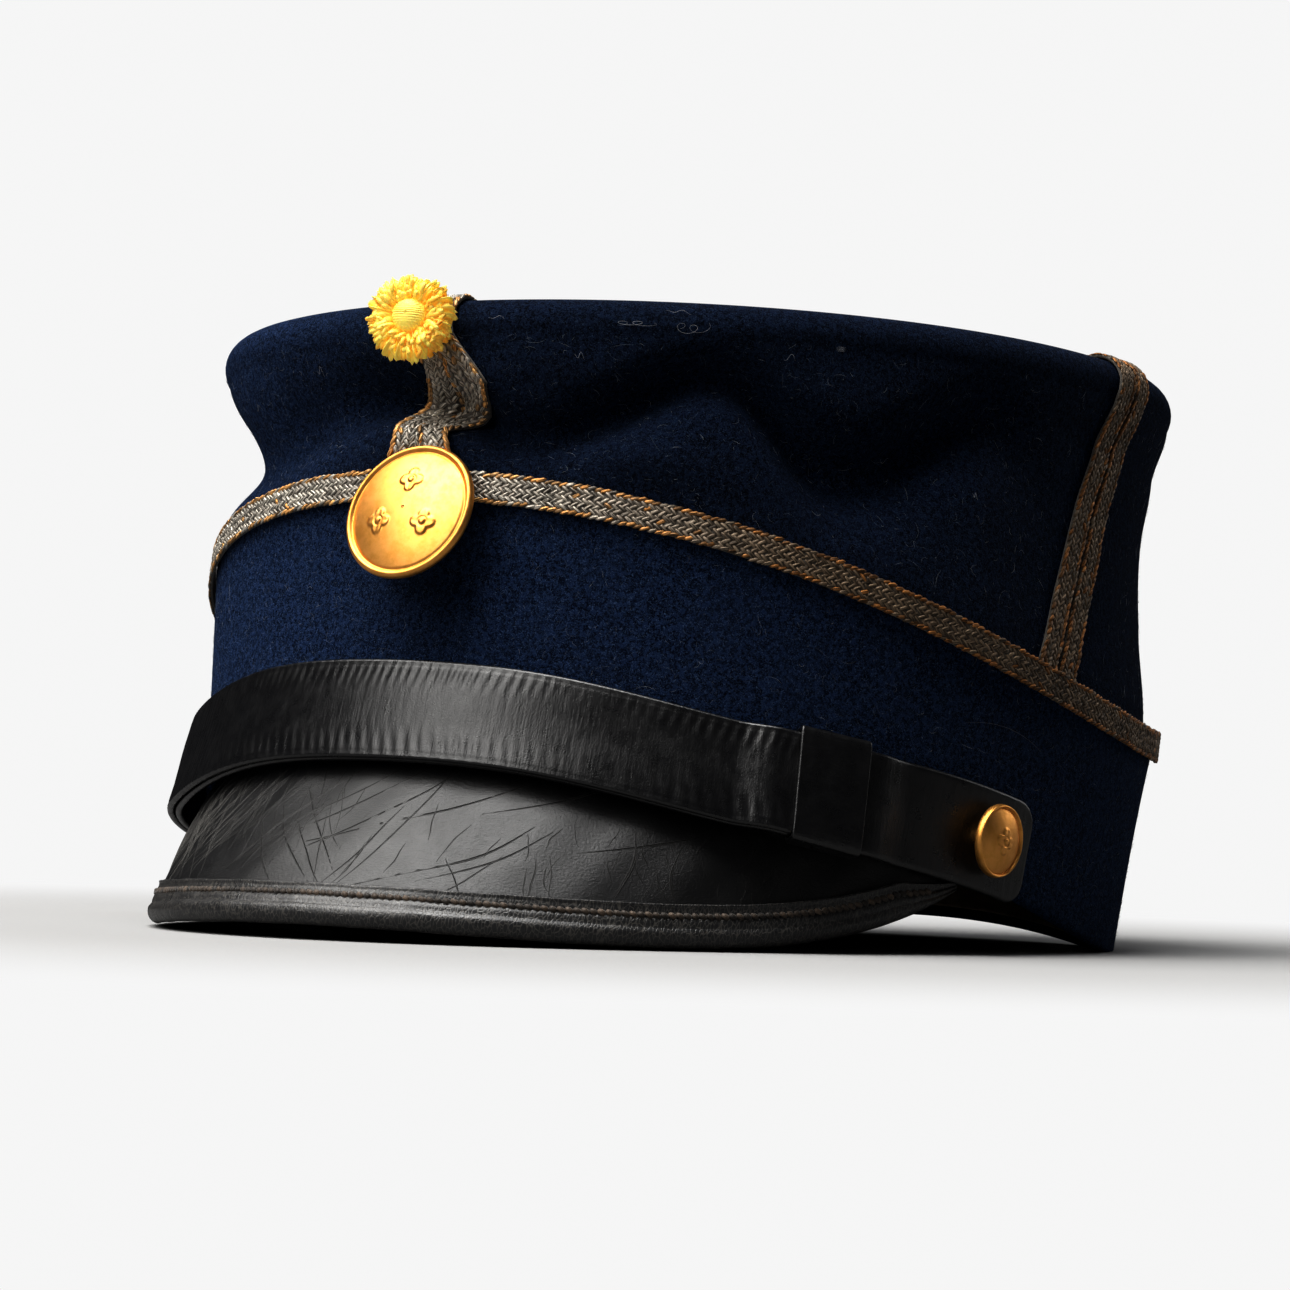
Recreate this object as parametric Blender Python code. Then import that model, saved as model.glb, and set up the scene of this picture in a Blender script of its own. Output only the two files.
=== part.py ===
"""Uniform cap: a low cloth crown over a stiff band, with a leather peak, a strap over the peak,
flat braid, a cockade and gilt buttons.

Lengths are in metres. The cap is drawn in its own frame: the wearer faces -Y, +X is the
wearer's left, z = 0 is the height of the rim at the front and at the back. Angles run from the
front (0) over the wearer's left (+90) to the back (180). A parent empty then leans this frame
back, so that the cap lies on z = 0 on the peak's edge and on the back of the rim.
"""

import math

import bmesh
import bpy
from mathutils import Matrix, Vector

# Band: a stiff ring of cloth that grips the head
BAND_HALF_DEPTH = 0.0925
BAND_HALF_WIDTH = 0.0907
BAND_HEIGHT = 0.0395
BAND_RISE = 0.0065
BAND_WALL = 0.0026
RIM_DIP = 0.0130
RIM_FORWARD = 0.0092
RIM_TUCK_FRONT = 0.0045
RIM_TUCK_BACK = 0.0010
SEAM_SWELL = 0.0013
RIM_FLAT = 0.0011

# Crown: the soft upper wall, its rolled top edge and the flat top
CROWN_HALF_DEPTH = 0.0953
CROWN_HALF_WIDTH = 0.0898
CROWN_HEIGHT = 0.0504
CROWN_SLOPE = 0.0101
CROWN_SIDE_TILT = 0.0029
CROWN_SHIFT_FORWARD = 0.0039
CROWN_SHIFT_RIGHT = 0.0016
CROWN_WALL = 0.0020
ROLL_RADIUS = 0.0050
ROLL_LEAD = 25.0
ROLL_TURN = 125.0
WAIST_DEPTH = 0.0033
FOLD_DEPTH = 0.0122
TOP_WALL = 0.0020

# Sweatband
SWEATBAND_WALL = 0.0012
SWEATBAND_HEIGHT = 0.0300
SWEATBAND_INSET = 0.0020

# Peak and its sewn edge binding
PEAK_REACH = 0.0217
PEAK_DROP = 0.0371
PEAK_REACH_POWER = 3.0
PEAK_DROP_POWER = 0.84
PEAK_SIDE_FULLNESS = 0.42
PEAK_HALF_ANGLE = 76.3
PEAK_END_ANGLE = 74.5
PEAK_INSET = 0.0016
PEAK_ARCH = 0.0012
PEAK_WALL = 0.0022
BINDING_WIDTH = 0.0075
BINDING_SHARE = 0.55
BINDING_WALL = 0.0008

# Flat braid
BRAID_WALL = 0.0009
RING_BRAID_WIDTH = 0.0064
SIDE_BRAID_WIDTH = 0.0056
SIDE_BRAID_FOOT = 84.0
SIDE_BRAID_HEAD = 98.0
SIDE_SEAM_REACH = 30.0
BRAID_SLIT = 0.0008
LOOP_BRAID_WIDTH = 0.0071
LOOP_SPREAD = 0.0012
LOOP_LIFT = 0.0010
LOOP_ANGLE = 2.0

# Chin strap: two leather straps, one over the other, and the keeper at the end of the upper one
STRAP_WIDTH = 0.0190
STRAP_WALL = 0.0013
STRAP_LIFT = 0.0134
STRAP_SAG = 0.0025
STRAP_END_RISE = 0.0040
STRAP_END_ROUND = 0.0040
STRAP_LEAN = 0.0046
STRAP_LEAN_START = 74.0
STRAP_LEAN_FULL = 45.0
STRAP_END_ANGLE = 83.5
OUTER_TIP_ANGLE = 57.0
INNER_TIP_ANGLE = 61.0
OVERLAP_RUN = 8.0
KEEPER_ANGLE = 53.5
KEEPER_LENGTH = 0.0130
KEEPER_WALL = 0.0011
KEEPER_ROOM = 0.0004
KEEPER_RISE_REACH = 11.0
KEEPER_RISE_RUN = 5.0

# Buttons and cockade
EMBLEM_ANGLE = 2.6
FRONT_BUTTON_RADIUS = 0.01325
FRONT_BUTTON_DOME = 0.0022
FRONT_BUTTON_STANDOFF = 0.0050
FRONT_BUTTON_DROP = 0.0072
FRONT_BUTTON_LEAN = 12.0
FRONT_STEM_RADIUS = 0.0018
FRONT_FLOWER_SPREAD = 0.42
FRONT_FLOWER_SIZE = 0.20
SIDE_BUTTON_RADIUS = 0.00675
SIDE_BUTTON_DOME = 0.0012
SIDE_BUTTON_STANDOFF = 0.0018
SIDE_BUTTON_ANGLE = 76.2
SIDE_BUTTON_TURN = 11.0
SIDE_STEM_RADIUS = 0.0016
SIDE_FLOWER_SIZE = 0.40
BUTTON_EDGE = 0.0011
BUTTON_BOW = 0.9
FLOWER_RELIEF = 0.0003
FLOWER_SIDES = 16
FLOWER_WAIST = 0.66
COCKADE_RADIUS = 0.0084
COCKADE_DOME = 0.0058
COCKADE_PETALS = 14
COCKADE_TURN = 8.0

CLEARANCE = 0.0003

# Stations round the head between the feet of the side seams, closer over the folded front than
# round the back
FRONT_STATIONS = 38
BACK_STATIONS = 20

# Rows up the crown's wall, from the seam (0) over the crease (0.5) to the roll (1), and the
# steps over the roll
CROWN_ROWS = (0.0, 0.16, 0.30, 0.41, 0.5, 0.59, 0.70, 0.84, 1.0)
ROLL_STEPS = 6

# The crown's fold. Columns: angle in degrees, height of the crease as a share of the wall,
# depth of the crease as a share of FOLD_DEPTH
FOLD_TABLE = (
    (-180.0, 0.55, 0.00),
    (-104.0, 0.55, 0.00),
    (-86.0, 0.60, 0.30),
    (-70.0, 0.60, 0.60),
    (-52.0, 0.60, 0.82),
    (-30.0, 0.63, 0.78),
    (-18.0, 0.73, 0.72),
    (-8.0, 0.82, 0.74),
    (3.0, 0.60, 1.12),
    (13.0, 0.38, 0.90),
    (25.0, 0.58, 0.84),
    (36.0, 0.85, 0.74),
    (43.0, 0.76, 0.82),
    (52.0, 0.44, 0.84),
    (61.0, 0.60, 0.70),
    (72.0, 0.84, 0.50),
    (80.0, 0.72, 0.22),
    (90.0, 0.55, 0.00),
    (180.0, 0.55, 0.00),
)

# The crown's plain wall. Columns: height share, inset as a share of WAIST_DEPTH
WAIST_TABLE = (
    (0.00, 0.00),
    (0.08, 0.62),
    (0.35, 0.90),
    (0.62, 1.00),
    (0.82, 0.72),
    (1.00, 0.00),
)

# A button's face, from the middle to the back. Columns: radius share, height as a share of the
# dome, height as a share of the edge
BUTTON_TABLE = (
    (0.000, 1.00, 1.00),
    (0.300, 0.93, 1.00),
    (0.600, 0.66, 1.00),
    (0.860, 0.18, 1.00),
    (0.900, 0.00, 1.00),
    (0.940, 0.00, 1.35),
    (0.985, 0.00, 1.00),
    (1.000, 0.00, 0.55),
    (0.980, 0.00, 0.00),
)

# A flower on a button, from under the button's face to its top. Columns: height as a share of
# the relief, size share
FLOWER_TABLE = (
    (-1.7, 1.0),
    (1.0, 1.0),
    (1.4, 0.7),
)

# The cockade, from the front of its cap to its back. Columns: radius share, height share,
# depth of the petals
COCKADE_TABLE = (
    (0.22, 0.98, 0.00),
    (0.42, 0.84, 0.00),
    (0.50, 0.62, 0.02),
    (0.76, 0.74, 0.04),
    (1.00, 0.42, 0.07),
    (0.90, 0.14, 0.06),
    (0.45, 0.00, 0.00),
)


def ease(share):
    """Slow-in, slow-out step from 0 to 1."""
    share = min(max(share, 0.0), 1.0)
    return share * share * (3.0 - 2.0 * share)


def read_table(table, key):
    """Row values at a key, eased from row to row."""
    for low, high in zip(table, table[1:]):
        if key <= high[0]:
            blend = ease((key - low[0]) / (high[0] - low[0]))
            return [a + (b - a) * blend for a, b in zip(low[1:], high[1:])]
    return list(table[-1][1:])


def wrap_angle(angle):
    """The same angle between -180 and 180 degrees."""
    return (angle + 180.0) % 360.0 - 180.0


def outward(angle):
    """Unit vector square to the band's oval in plan."""
    turn = math.radians(angle)
    return Vector((math.sin(turn) / BAND_HALF_WIDTH, -math.cos(turn) / BAND_HALF_DEPTH, 0.0)).normalized()


def rim_height(angle):
    """The rim dips at the sides, more behind the ears than before them."""
    turn = math.radians(angle)
    return -math.sin(turn) ** 2 * (RIM_DIP - RIM_FORWARD * math.cos(turn))


def seam_height(angle):
    """Height of the seam between the band and the crown."""
    return rim_height(angle) + BAND_HEIGHT + BAND_RISE * math.cos(math.radians(angle)) ** 2


def top_height(angle):
    """Height of the crest of the rolled top edge."""
    turn = math.radians(angle)
    level = BAND_HEIGHT + CROWN_HEIGHT
    return level - CROWN_SLOPE * math.cos(turn) + CROWN_SIDE_TILT * math.sin(turn)


def oval(angle, half_width, half_depth, shift_x=0.0, shift_y=0.0):
    """Point of an oval in plan."""
    turn = math.radians(angle)
    return Vector((shift_x + half_width * math.sin(turn), shift_y - half_depth * math.cos(turn), 0.0))


def rim_tuck(angle):
    """How far the rim is drawn in, more at the front than at the back."""
    ahead = math.cos(math.radians(angle) / 2.0) ** 2
    return RIM_TUCK_BACK + (RIM_TUCK_FRONT - RIM_TUCK_BACK) * ahead


def band_point(angle, share, out=0.0):
    """Point of the band's outer face, from the rim (0) to the seam (1), moved out by a length."""
    behind = math.sin(math.radians(angle) / 2.0) ** 2
    lean = behind * SEAM_SWELL * share ** 3 - rim_tuck(angle) * (1.0 - share)
    point = oval(angle, BAND_HALF_WIDTH, BAND_HALF_DEPTH) + outward(angle) * (lean + out)
    point.z = rim_height(angle) + share * (seam_height(angle) - rim_height(angle))
    return point


def roll_point(angle, share, out=0.0):
    """Point of the rolled edge, from the top of the crown's wall (0) over to its inner lip (1)."""
    turn = math.radians(ROLL_TURN * share - ROLL_LEAD * (1.0 - share))
    side = outward(angle)
    point = oval(angle, CROWN_HALF_WIDTH, CROWN_HALF_DEPTH, -CROWN_SHIFT_RIGHT, -CROWN_SHIFT_FORWARD)
    point += side * ((ROLL_RADIUS + out) * math.cos(turn) - ROLL_RADIUS)
    point.z = top_height(angle) - ROLL_RADIUS + (ROLL_RADIUS + out) * math.sin(turn)
    return point


def crown_point(angle, row, out=0.0):
    """Point of the crown's wall: the chord from seam to roll, less the waist, less the fold.

    Row 0.5 follows the crease. The fold is deepest there and runs out towards the seam and
    towards the roll.
    """
    crease, depth = read_table(FOLD_TABLE, wrap_angle(angle))
    if row < 0.5:
        share = 2.0 * row * crease
    else:
        share = crease + (2.0 * row - 1.0) * (1.0 - crease)
    foot = band_point(angle, 1.0)
    chord = foot.lerp(roll_point(angle, 0.0), share)
    waist = read_table(WAIST_TABLE, share)[0] * WAIST_DEPTH * (1.0 - depth)
    fold = depth * FOLD_DEPTH * math.cos(math.pi * (row - 0.5)) ** 2
    return chord + outward(angle) * (out - waist - fold)


def stations(start, end, count):
    """Evenly spaced angles, both ends kept."""
    return [start + (end - start) * k / count for k in range(count + 1)]


ROLL_ROWS = stations(0.0, 1.0, ROLL_STEPS)[1:]
RING_ANGLES = stations(-SIDE_BRAID_FOOT, SIDE_BRAID_FOOT, FRONT_STATIONS)[:-1]
RING_ANGLES += stations(SIDE_BRAID_FOOT, 360.0 - SIDE_BRAID_FOOT, BACK_STATIONS)[:-1]


def make_material(name, colour, roughness, metallic=0.0):
    """A Principled material."""
    material = bpy.data.materials.new(name)
    material.use_nodes = True
    shader = material.node_tree.nodes["Principled BSDF"]
    shader.inputs["Base Color"].default_value = (*colour, 1.0)
    shader.inputs["Roughness"].default_value = roughness
    shader.inputs["Metallic"].default_value = metallic
    return material


def finish_mesh(name, work, material, frame, sharp=35.0):
    """Turn a bmesh into a parented object with outward faces and smooth shading."""
    bmesh.ops.recalc_face_normals(work, faces=work.faces)
    mesh = bpy.data.meshes.new(name)
    work.to_mesh(mesh)
    work.free()
    mesh.shade_smooth()
    mesh.set_sharp_from_angle(angle=math.radians(sharp))
    mesh.materials.append(material)
    item = bpy.data.objects.new(name, mesh)
    item.parent = frame
    bpy.context.scene.collection.objects.link(item)
    return item


def cap_wall(work, loop):
    """Cap the end of a wall, whose section runs up one face and down the other, rung by rung."""
    for k in range(len(loop) // 2 - 1):
        work.faces.new((loop[k], loop[k + 1], loop[-2 - k], loop[-1 - k]))


def loft(name, sections, material, frame, closed=False, wall=False):
    """Skin a run of equal closed sections, with the ends capped unless the run closes."""
    work = bmesh.new()
    loops = [[work.verts.new(point) for point in section] for section in sections]
    pairs = list(zip(loops, loops[1:]))
    if closed:
        pairs.append((loops[-1], loops[0]))
    for first, second in pairs:
        for k in range(len(first)):
            n = (k + 1) % len(first)
            work.faces.new((first[k], first[n], second[n], second[k]))
    if wall:
        cap_wall(work, loops[0])
        cap_wall(work, loops[-1])
    elif not closed:
        work.faces.new(loops[0])
        work.faces.new(loops[-1])
    return finish_mesh(name, work, material, frame)


def build_band(cloth, frame, floor_block):
    """The band, cut flat where its rim lies on the floor."""
    shares = (0.0, 0.35, 0.7, 1.0)
    sections = []
    for angle in RING_ANGLES:
        outer = [band_point(angle, share) for share in shares]
        inner = [band_point(angle, share, -BAND_WALL) for share in reversed(shares)]
        outer[-1].z -= CLEARANCE / 2.0
        inner[0].z -= CLEARANCE / 2.0
        sections.append(outer + inner)
    band = loft("band", sections, cloth, frame, closed=True)
    cut = band.modifiers.new("floor", "BOOLEAN")
    cut.operation = "DIFFERENCE"
    cut.solver = "EXACT"
    cut.object = floor_block
    return band


def seam_angle(angle, row):
    """Angle of a station of the crown at a row.

    The stations beside each side seam lean with it, and the seam follows the side braids from
    their foot to their head.
    """
    near = max(1.0 - abs(abs(angle) - SIDE_BRAID_FOOT) / SIDE_SEAM_REACH, 0.0)
    return angle + math.copysign(near * (SIDE_BRAID_HEAD - SIDE_BRAID_FOOT) * row, angle)


def crown_section(angle):
    """Cross-section of the crown's wall and of its rolled top edge."""
    faces = []
    for out in (0.0, -CROWN_WALL):
        face = [crown_point(seam_angle(angle, row), row, out) for row in CROWN_ROWS]
        face += [roll_point(seam_angle(angle, 1.0), share, out) for share in ROLL_ROWS]
        face[0].z += CLEARANCE / 2.0
        faces.append(face)
    return faces[0] + faces[1][::-1]


def build_crown(cloth, frame):
    """The crown's four quarters of cloth, sewn under the braids at the front, sides and back."""
    gap = math.degrees(CLEARANCE / 2.0 / BAND_HALF_WIDTH)
    quarters = (
        ("crown_front_right", -SIDE_BRAID_FOOT, 0.0, FRONT_STATIONS // 2),
        ("crown_front_left", 0.0, SIDE_BRAID_FOOT, FRONT_STATIONS // 2),
        ("crown_back_left", SIDE_BRAID_FOOT, 180.0, BACK_STATIONS // 2),
        ("crown_back_right", -180.0, -SIDE_BRAID_FOOT, BACK_STATIONS // 2),
    )
    for name, start, end, count in quarters:
        inner = stations(start, end, count)[1:-1]
        angles = [start + gap] + inner + [end - gap]
        loft(name, [crown_section(angle) for angle in angles], cloth, frame, wall=True)


def top_disc_point(angle, share, level):
    """Point of the flat top, from its centre (0) to its edge (1), above the lip's level."""
    lips = [roll_point(side, 1.0) for side in (0.0, 90.0, 180.0, 270.0)]
    centre = sum(lips, Vector()) / len(lips)
    lip = roll_point(angle, 1.0) - outward(angle) * 2.0 * CLEARANCE
    return centre.lerp(lip, share) + Vector((0.0, 0.0, level))


def build_top_disc(cloth, frame):
    """The flat top, held inside the rolled edge."""
    work = bmesh.new()
    rings = []
    for level in (0.0, -TOP_WALL):
        ring = [work.verts.new(top_disc_point(angle, 1.0, level)) for angle in RING_ANGLES]
        rings.append((ring, work.verts.new(top_disc_point(0.0, 0.0, level))))
    for ring, centre in rings:
        for k in range(len(ring)):
            work.faces.new((ring[k], ring[(k + 1) % len(ring)], centre))
    upper, lower = rings[0][0], rings[1][0]
    for k in range(len(upper)):
        n = (k + 1) % len(upper)
        work.faces.new((upper[k], upper[n], lower[n], lower[k]))
    return finish_mesh("top_disc", work, cloth, frame)


def build_sweatband(leather, frame):
    """The leather band inside the rim."""
    inner = BAND_WALL + CLEARANCE
    sections = []
    for angle in RING_ANGLES:
        height = seam_height(angle) - rim_height(angle)
        low = SWEATBAND_INSET / height
        high = (SWEATBAND_INSET + SWEATBAND_HEIGHT) / height
        outer_face = [band_point(angle, share, -inner) for share in (low, high)]
        inner_face = [band_point(angle, share, -inner - SWEATBAND_WALL) for share in (high, low)]
        sections.append(outer_face + inner_face)
    return loft("sweatband", sections, leather, frame, closed=True)


def peak_form(angle):
    """Root, slope direction, normal and slope length of the peak at an angle."""
    fade = max(math.cos(math.pi / 2.0 * angle / PEAK_HALF_ANGLE), 0.0)
    reach = PEAK_REACH * fade ** PEAK_REACH_POWER + rim_tuck(angle) * fade
    drop = PEAK_DROP * fade ** PEAK_DROP_POWER * (1.0 + PEAK_SIDE_FULLNESS * (1.0 - fade))
    side = outward(angle)
    root = band_point(angle, 0.0, -PEAK_INSET)
    root.z -= CLEARANCE
    length = math.hypot(reach, drop)
    slope = (side * reach + Vector((0.0, 0.0, -drop))) / length
    normal = (side * drop + Vector((0.0, 0.0, reach))) / length
    return root, slope, normal, length


def peak_point(angle, along, rise):
    """Point of the peak at a length down its slope, raised square to it, on a slight arch."""
    root, slope, normal, length = peak_form(angle)
    share = along / length
    arch = 4.0 * PEAK_ARCH * share * (1.0 - share) * min(1.0, length / PEAK_DROP)
    return root + slope * along + normal * (arch + rise)


def binding_width(length):
    """The binding narrows where the peak runs out under the strap."""
    return min(BINDING_WIDTH, BINDING_SHARE * length)


PEAK_ANGLES = stations(-PEAK_END_ANGLE, PEAK_END_ANGLE, 40)


def build_peak(leather, frame):
    """The peak's leather, from the rim to the fold of its binding."""
    shares = (0.0, 0.2, 0.4, 0.6, 0.8, 1.0)
    sections = []
    for angle in PEAK_ANGLES:
        reach = peak_form(angle)[3] - BINDING_WALL - CLEARANCE
        upper = [peak_point(angle, reach * share, 0.0) for share in shares]
        lower = [peak_point(angle, reach * share, -PEAK_WALL) for share in reversed(shares)]
        sections.append(upper + lower)
    return loft("peak", sections, leather, frame)


def binding_section(angle):
    """Channel section of the binding round the peak's edge."""
    length = peak_form(angle)[3]
    back = length - binding_width(length)
    top = CLEARANCE
    low = -PEAK_WALL - CLEARANCE
    fold = length - BINDING_WALL
    corners = (
        (back, top),
        (back, top + BINDING_WALL),
        (fold, top + BINDING_WALL),
        (length, top),
        (length, low),
        (fold, low - BINDING_WALL),
        (back, low - BINDING_WALL),
        (back, low),
        (fold, low),
        (fold, top),
    )
    return [peak_point(angle, along, rise) for along, rise in corners]


def build_binding(leather, frame):
    """The strip of leather folded round the peak's edge."""
    return loft("peak_binding", [binding_section(angle) for angle in PEAK_ANGLES], leather, frame)


def build_ring_braid(braid, frame):
    """The braid laid round the seam."""
    half = RING_BRAID_WIDTH / 2.0
    sections = []
    for angle in RING_ANGLES:
        point = band_point(angle, 1.0, CLEARANCE)
        side = outward(angle)
        rise = Vector((0.0, 0.0, half))
        thick = side * BRAID_WALL
        sections.append([point - rise, point - rise + thick, point + rise + thick, point + rise])
    return loft("ring_braid", sections, braid, frame, closed=True)


def angle_at(middle, offset):
    """Angle beside a middle angle, at a length along the head ring."""
    return middle + math.degrees(offset / BAND_HALF_WIDTH)


def braid_edge(foot, head, lift=0.0):
    """One edge of a braid, from the ring braid up the crown and over the roll to its lip.

    It leans from its foot's angle to its head's angle on the way up, and it may lift off the
    cloth at the crease. Each entry holds the point on the braid's under side and the one on its
    upper side.
    """
    outs = (CLEARANCE, CLEARANCE + BRAID_WALL)
    rows = []
    for row in CROWN_ROWS:
        angle = foot + (head - foot) * row
        rise = lift * math.sin(math.pi * row)
        rows.append([crown_point(angle, row, out + rise) for out in outs])
    share = (RING_BRAID_WIDTH / 2.0 + 2.0 * CLEARANCE) / (rows[1][0].z - rows[0][0].z)
    start = [a.lerp(b, share) for a, b in zip(rows[0], rows[1])]
    return [start] + rows[1:] + [[roll_point(head, row, out) for out in outs] for row in ROLL_ROWS]


def braid_strip(name, left, right, material, frame):
    """A flat strip between two edges of equal length."""
    sections = [[a[0], b[0], b[1], a[1]] for a, b in zip(left, right)]
    return loft(name, sections, material, frame)


def build_side_braids(braid, frame):
    """Two strips side by side, up one side of the crown, over the top and down the other."""
    middle = (SIDE_BRAID_WIDTH + BRAID_SLIT) / 2.0
    for name, offset in (("side_braid_front", -middle), ("side_braid_back", middle)):
        edges = []
        for reach in (offset - SIDE_BRAID_WIDTH / 2.0, offset + SIDE_BRAID_WIDTH / 2.0):
            foot = angle_at(SIDE_BRAID_FOOT, reach)
            head = angle_at(SIDE_BRAID_HEAD, reach)
            edges.append(braid_edge(foot, head) + braid_edge(-foot, -head)[::-1])
        braid_strip(name, *edges, braid, frame)


def run_to_crossing(edge, head):
    """Carry a braid's edge over the flat top, as far as the strips that cross it."""
    far = roll_point(180.0 - head, 1.0, CLEARANCE)
    crossing = roll_point(SIDE_BRAID_HEAD, 1.0).y
    half = SIDE_BRAID_WIDTH + BRAID_SLIT / 2.0 + 4.0 * CLEARANCE
    near = edge[-1][0]
    stop = crossing + math.copysign(half, near.y - crossing)
    share = (stop - near.y) / (far.y - near.y)
    return edge + [[point + (far - near) * share for point in edge[-1]]]


def build_back_braids(braid, frame):
    """Two strips side by side, up the back and over the top to the crossing."""
    middle = (SIDE_BRAID_WIDTH + BRAID_SLIT) / 2.0
    for name, offset in (("back_braid_left", -middle), ("back_braid_right", middle)):
        edges = []
        for reach in (offset - SIDE_BRAID_WIDTH / 2.0, offset + SIDE_BRAID_WIDTH / 2.0):
            angle = angle_at(180.0, reach)
            edges.append(run_to_crossing(braid_edge(angle, angle), angle))
        braid_strip(name, *edges, braid, frame)


def build_loop_braids(braid, frame):
    """The front button's loop: two strips from the crossing over the front edge to the button."""
    for name, side in (("loop_braid_right", -1.0), ("loop_braid_left", 1.0)):
        edges = []
        for reach in (CLEARANCE / 2.0, CLEARANCE / 2.0 + LOOP_BRAID_WIDTH):
            foot = angle_at(LOOP_ANGLE, side * (reach + LOOP_SPREAD))
            head = angle_at(LOOP_ANGLE, side * reach)
            edges.append(run_to_crossing(braid_edge(foot, head, LOOP_LIFT), head))
        braid_strip(name, *edges, braid, frame)


def strap_top_share(angle):
    """Height of the strap's upper edge on the band, as a share of the band's height."""
    turn = math.radians(angle)
    sag = STRAP_SAG * math.sin(2.0 * turn) ** 4
    rise = STRAP_END_RISE * math.sin(turn) ** 6
    return (STRAP_LIFT - sag + rise) / (seam_height(angle) - rim_height(angle))


def strap_lean(angle):
    """How far the strap's lower edge stands out from the band: over the peak only."""
    return STRAP_LEAN * ease((STRAP_LEAN_START - abs(angle)) / (STRAP_LEAN_START - STRAP_LEAN_FULL))


def strap_point(angle, down, out):
    """Point of the strap: down from its upper edge, and out from the band square to the strap.

    The strap stands off the band towards its lower edge over the peak's root, and lies flat on
    the band at its ends.
    """
    wall = seam_height(angle) - rim_height(angle)
    lean = strap_lean(angle) - rim_tuck(angle) * STRAP_WIDTH / wall
    fall = math.sqrt(STRAP_WIDTH ** 2 - lean ** 2)
    side = outward(angle)
    normal = (side * fall + Vector((0.0, 0.0, lean))) / STRAP_WIDTH
    slope = (side * lean - Vector((0.0, 0.0, fall))) / STRAP_WIDTH
    return band_point(angle, strap_top_share(angle)) + slope * down + normal * out


def strap_stand(angle):
    """Distance from the band to the inner strap, which rises over the keeper's back."""
    near = ease((KEEPER_RISE_REACH - abs(angle - KEEPER_ANGLE)) / KEEPER_RISE_RUN)
    return CLEARANCE + near * (KEEPER_WALL + KEEPER_ROOM) * (1.0 + STRAP_LEAN / STRAP_WIDTH)


def strap_section(angle, out, trim):
    """Cross-section of a strap, its edges trimmed by a length where its end is rounded."""
    downs = (trim, STRAP_WIDTH / 2.0, STRAP_WIDTH - trim)
    under = [strap_point(angle, down, out) for down in downs]
    over = [strap_point(angle, down, out + STRAP_WALL) for down in downs]
    return over + under[::-1]


def end_trim(angle, end):
    """How much the rounded end takes off each edge, at an angle near the strap's end."""
    gone = STRAP_END_ROUND - abs(angle - end) * math.radians(BAND_HALF_WIDTH)
    if gone <= 0.0:
        return 0.0
    return STRAP_END_ROUND - math.sqrt(STRAP_END_ROUND ** 2 - gone ** 2)


def strap_angles(start, end):
    """Stations along a strap: shared ones between its ends, and close ones round each end."""
    near = (0.0, 1.5, 3.0)
    shared = [angle for angle in range(-88, 92, 4) if start + 3.5 < angle < end - 3.5]
    return [start + step for step in near] + shared + [end - step for step in reversed(near)]


def build_inner_strap(leather, frame):
    """The strap that lies on the band, buttoned at the wearer's left."""
    sections = []
    for angle in strap_angles(-INNER_TIP_ANGLE, STRAP_END_ANGLE):
        trim = max(end_trim(angle, STRAP_END_ANGLE), end_trim(angle, -INNER_TIP_ANGLE))
        sections.append(strap_section(angle, strap_stand(angle), trim))
    loft("chin_strap_inner", sections, leather, frame)


def build_outer_strap(leather, frame):
    """The strap that lies over the other one, buttoned at the wearer's right."""
    sections = []
    for angle in strap_angles(-STRAP_END_ANGLE, OUTER_TIP_ANGLE):
        over = ease((angle + INNER_TIP_ANGLE + OVERLAP_RUN) / OVERLAP_RUN)
        trim = max(end_trim(angle, -STRAP_END_ANGLE), end_trim(angle, OUTER_TIP_ANGLE))
        out = strap_stand(angle) + over * (STRAP_WALL + CLEARANCE)
        sections.append(strap_section(angle, out, trim))
    loft("chin_strap_outer", sections, leather, frame)


def build_keeper(leather, frame):
    """A leather loop round both straps, which holds the tip of the outer one."""
    half = math.degrees(KEEPER_LENGTH / 2.0 / BAND_HALF_WIDTH)
    angles = [KEEPER_ANGLE + turn for turn in (-half, 0.0, half)]
    stack = 2.0 * (STRAP_WALL + CLEARANCE)
    corners = ((0.0, 0.0), (0.0, 1.0), (1.0, 1.0), (1.0, 0.0))
    sections = []
    for down, out in corners:
        section = []
        for wall, run in ((0.0, angles), (KEEPER_WALL, angles[::-1])):
            margin = KEEPER_ROOM + wall
            length = -margin + down * (STRAP_WIDTH + 2.0 * margin)
            for angle in run:
                rise = strap_stand(angle) - margin + out * (stack - CLEARANCE + 2.0 * margin)
                section.append(strap_point(angle, length, rise))
        sections.append(section)
    loft("strap_keeper", sections, leather, frame, closed=True)


def turned(name, profile, material, frame, steps):
    """A turned piece: a Screw modifier over a profile of (radius, height), read from the top down."""
    mesh = bpy.data.meshes.new(name)
    edges = [(k, k + 1) for k in range(len(profile) - 1)]
    mesh.from_pydata([(radius, 0.0, height) for radius, height in profile], edges, [])
    mesh.materials.append(material)
    item = bpy.data.objects.new(name, mesh)
    item.parent = frame
    bpy.context.scene.collection.objects.link(item)
    lathe = item.modifiers.new("turn", "SCREW")
    lathe.steps = steps
    lathe.render_steps = steps
    lathe.use_merge_vertices = True
    lathe.merge_threshold = 0.00001
    lathe.use_smooth_shade = True
    return item


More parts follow.
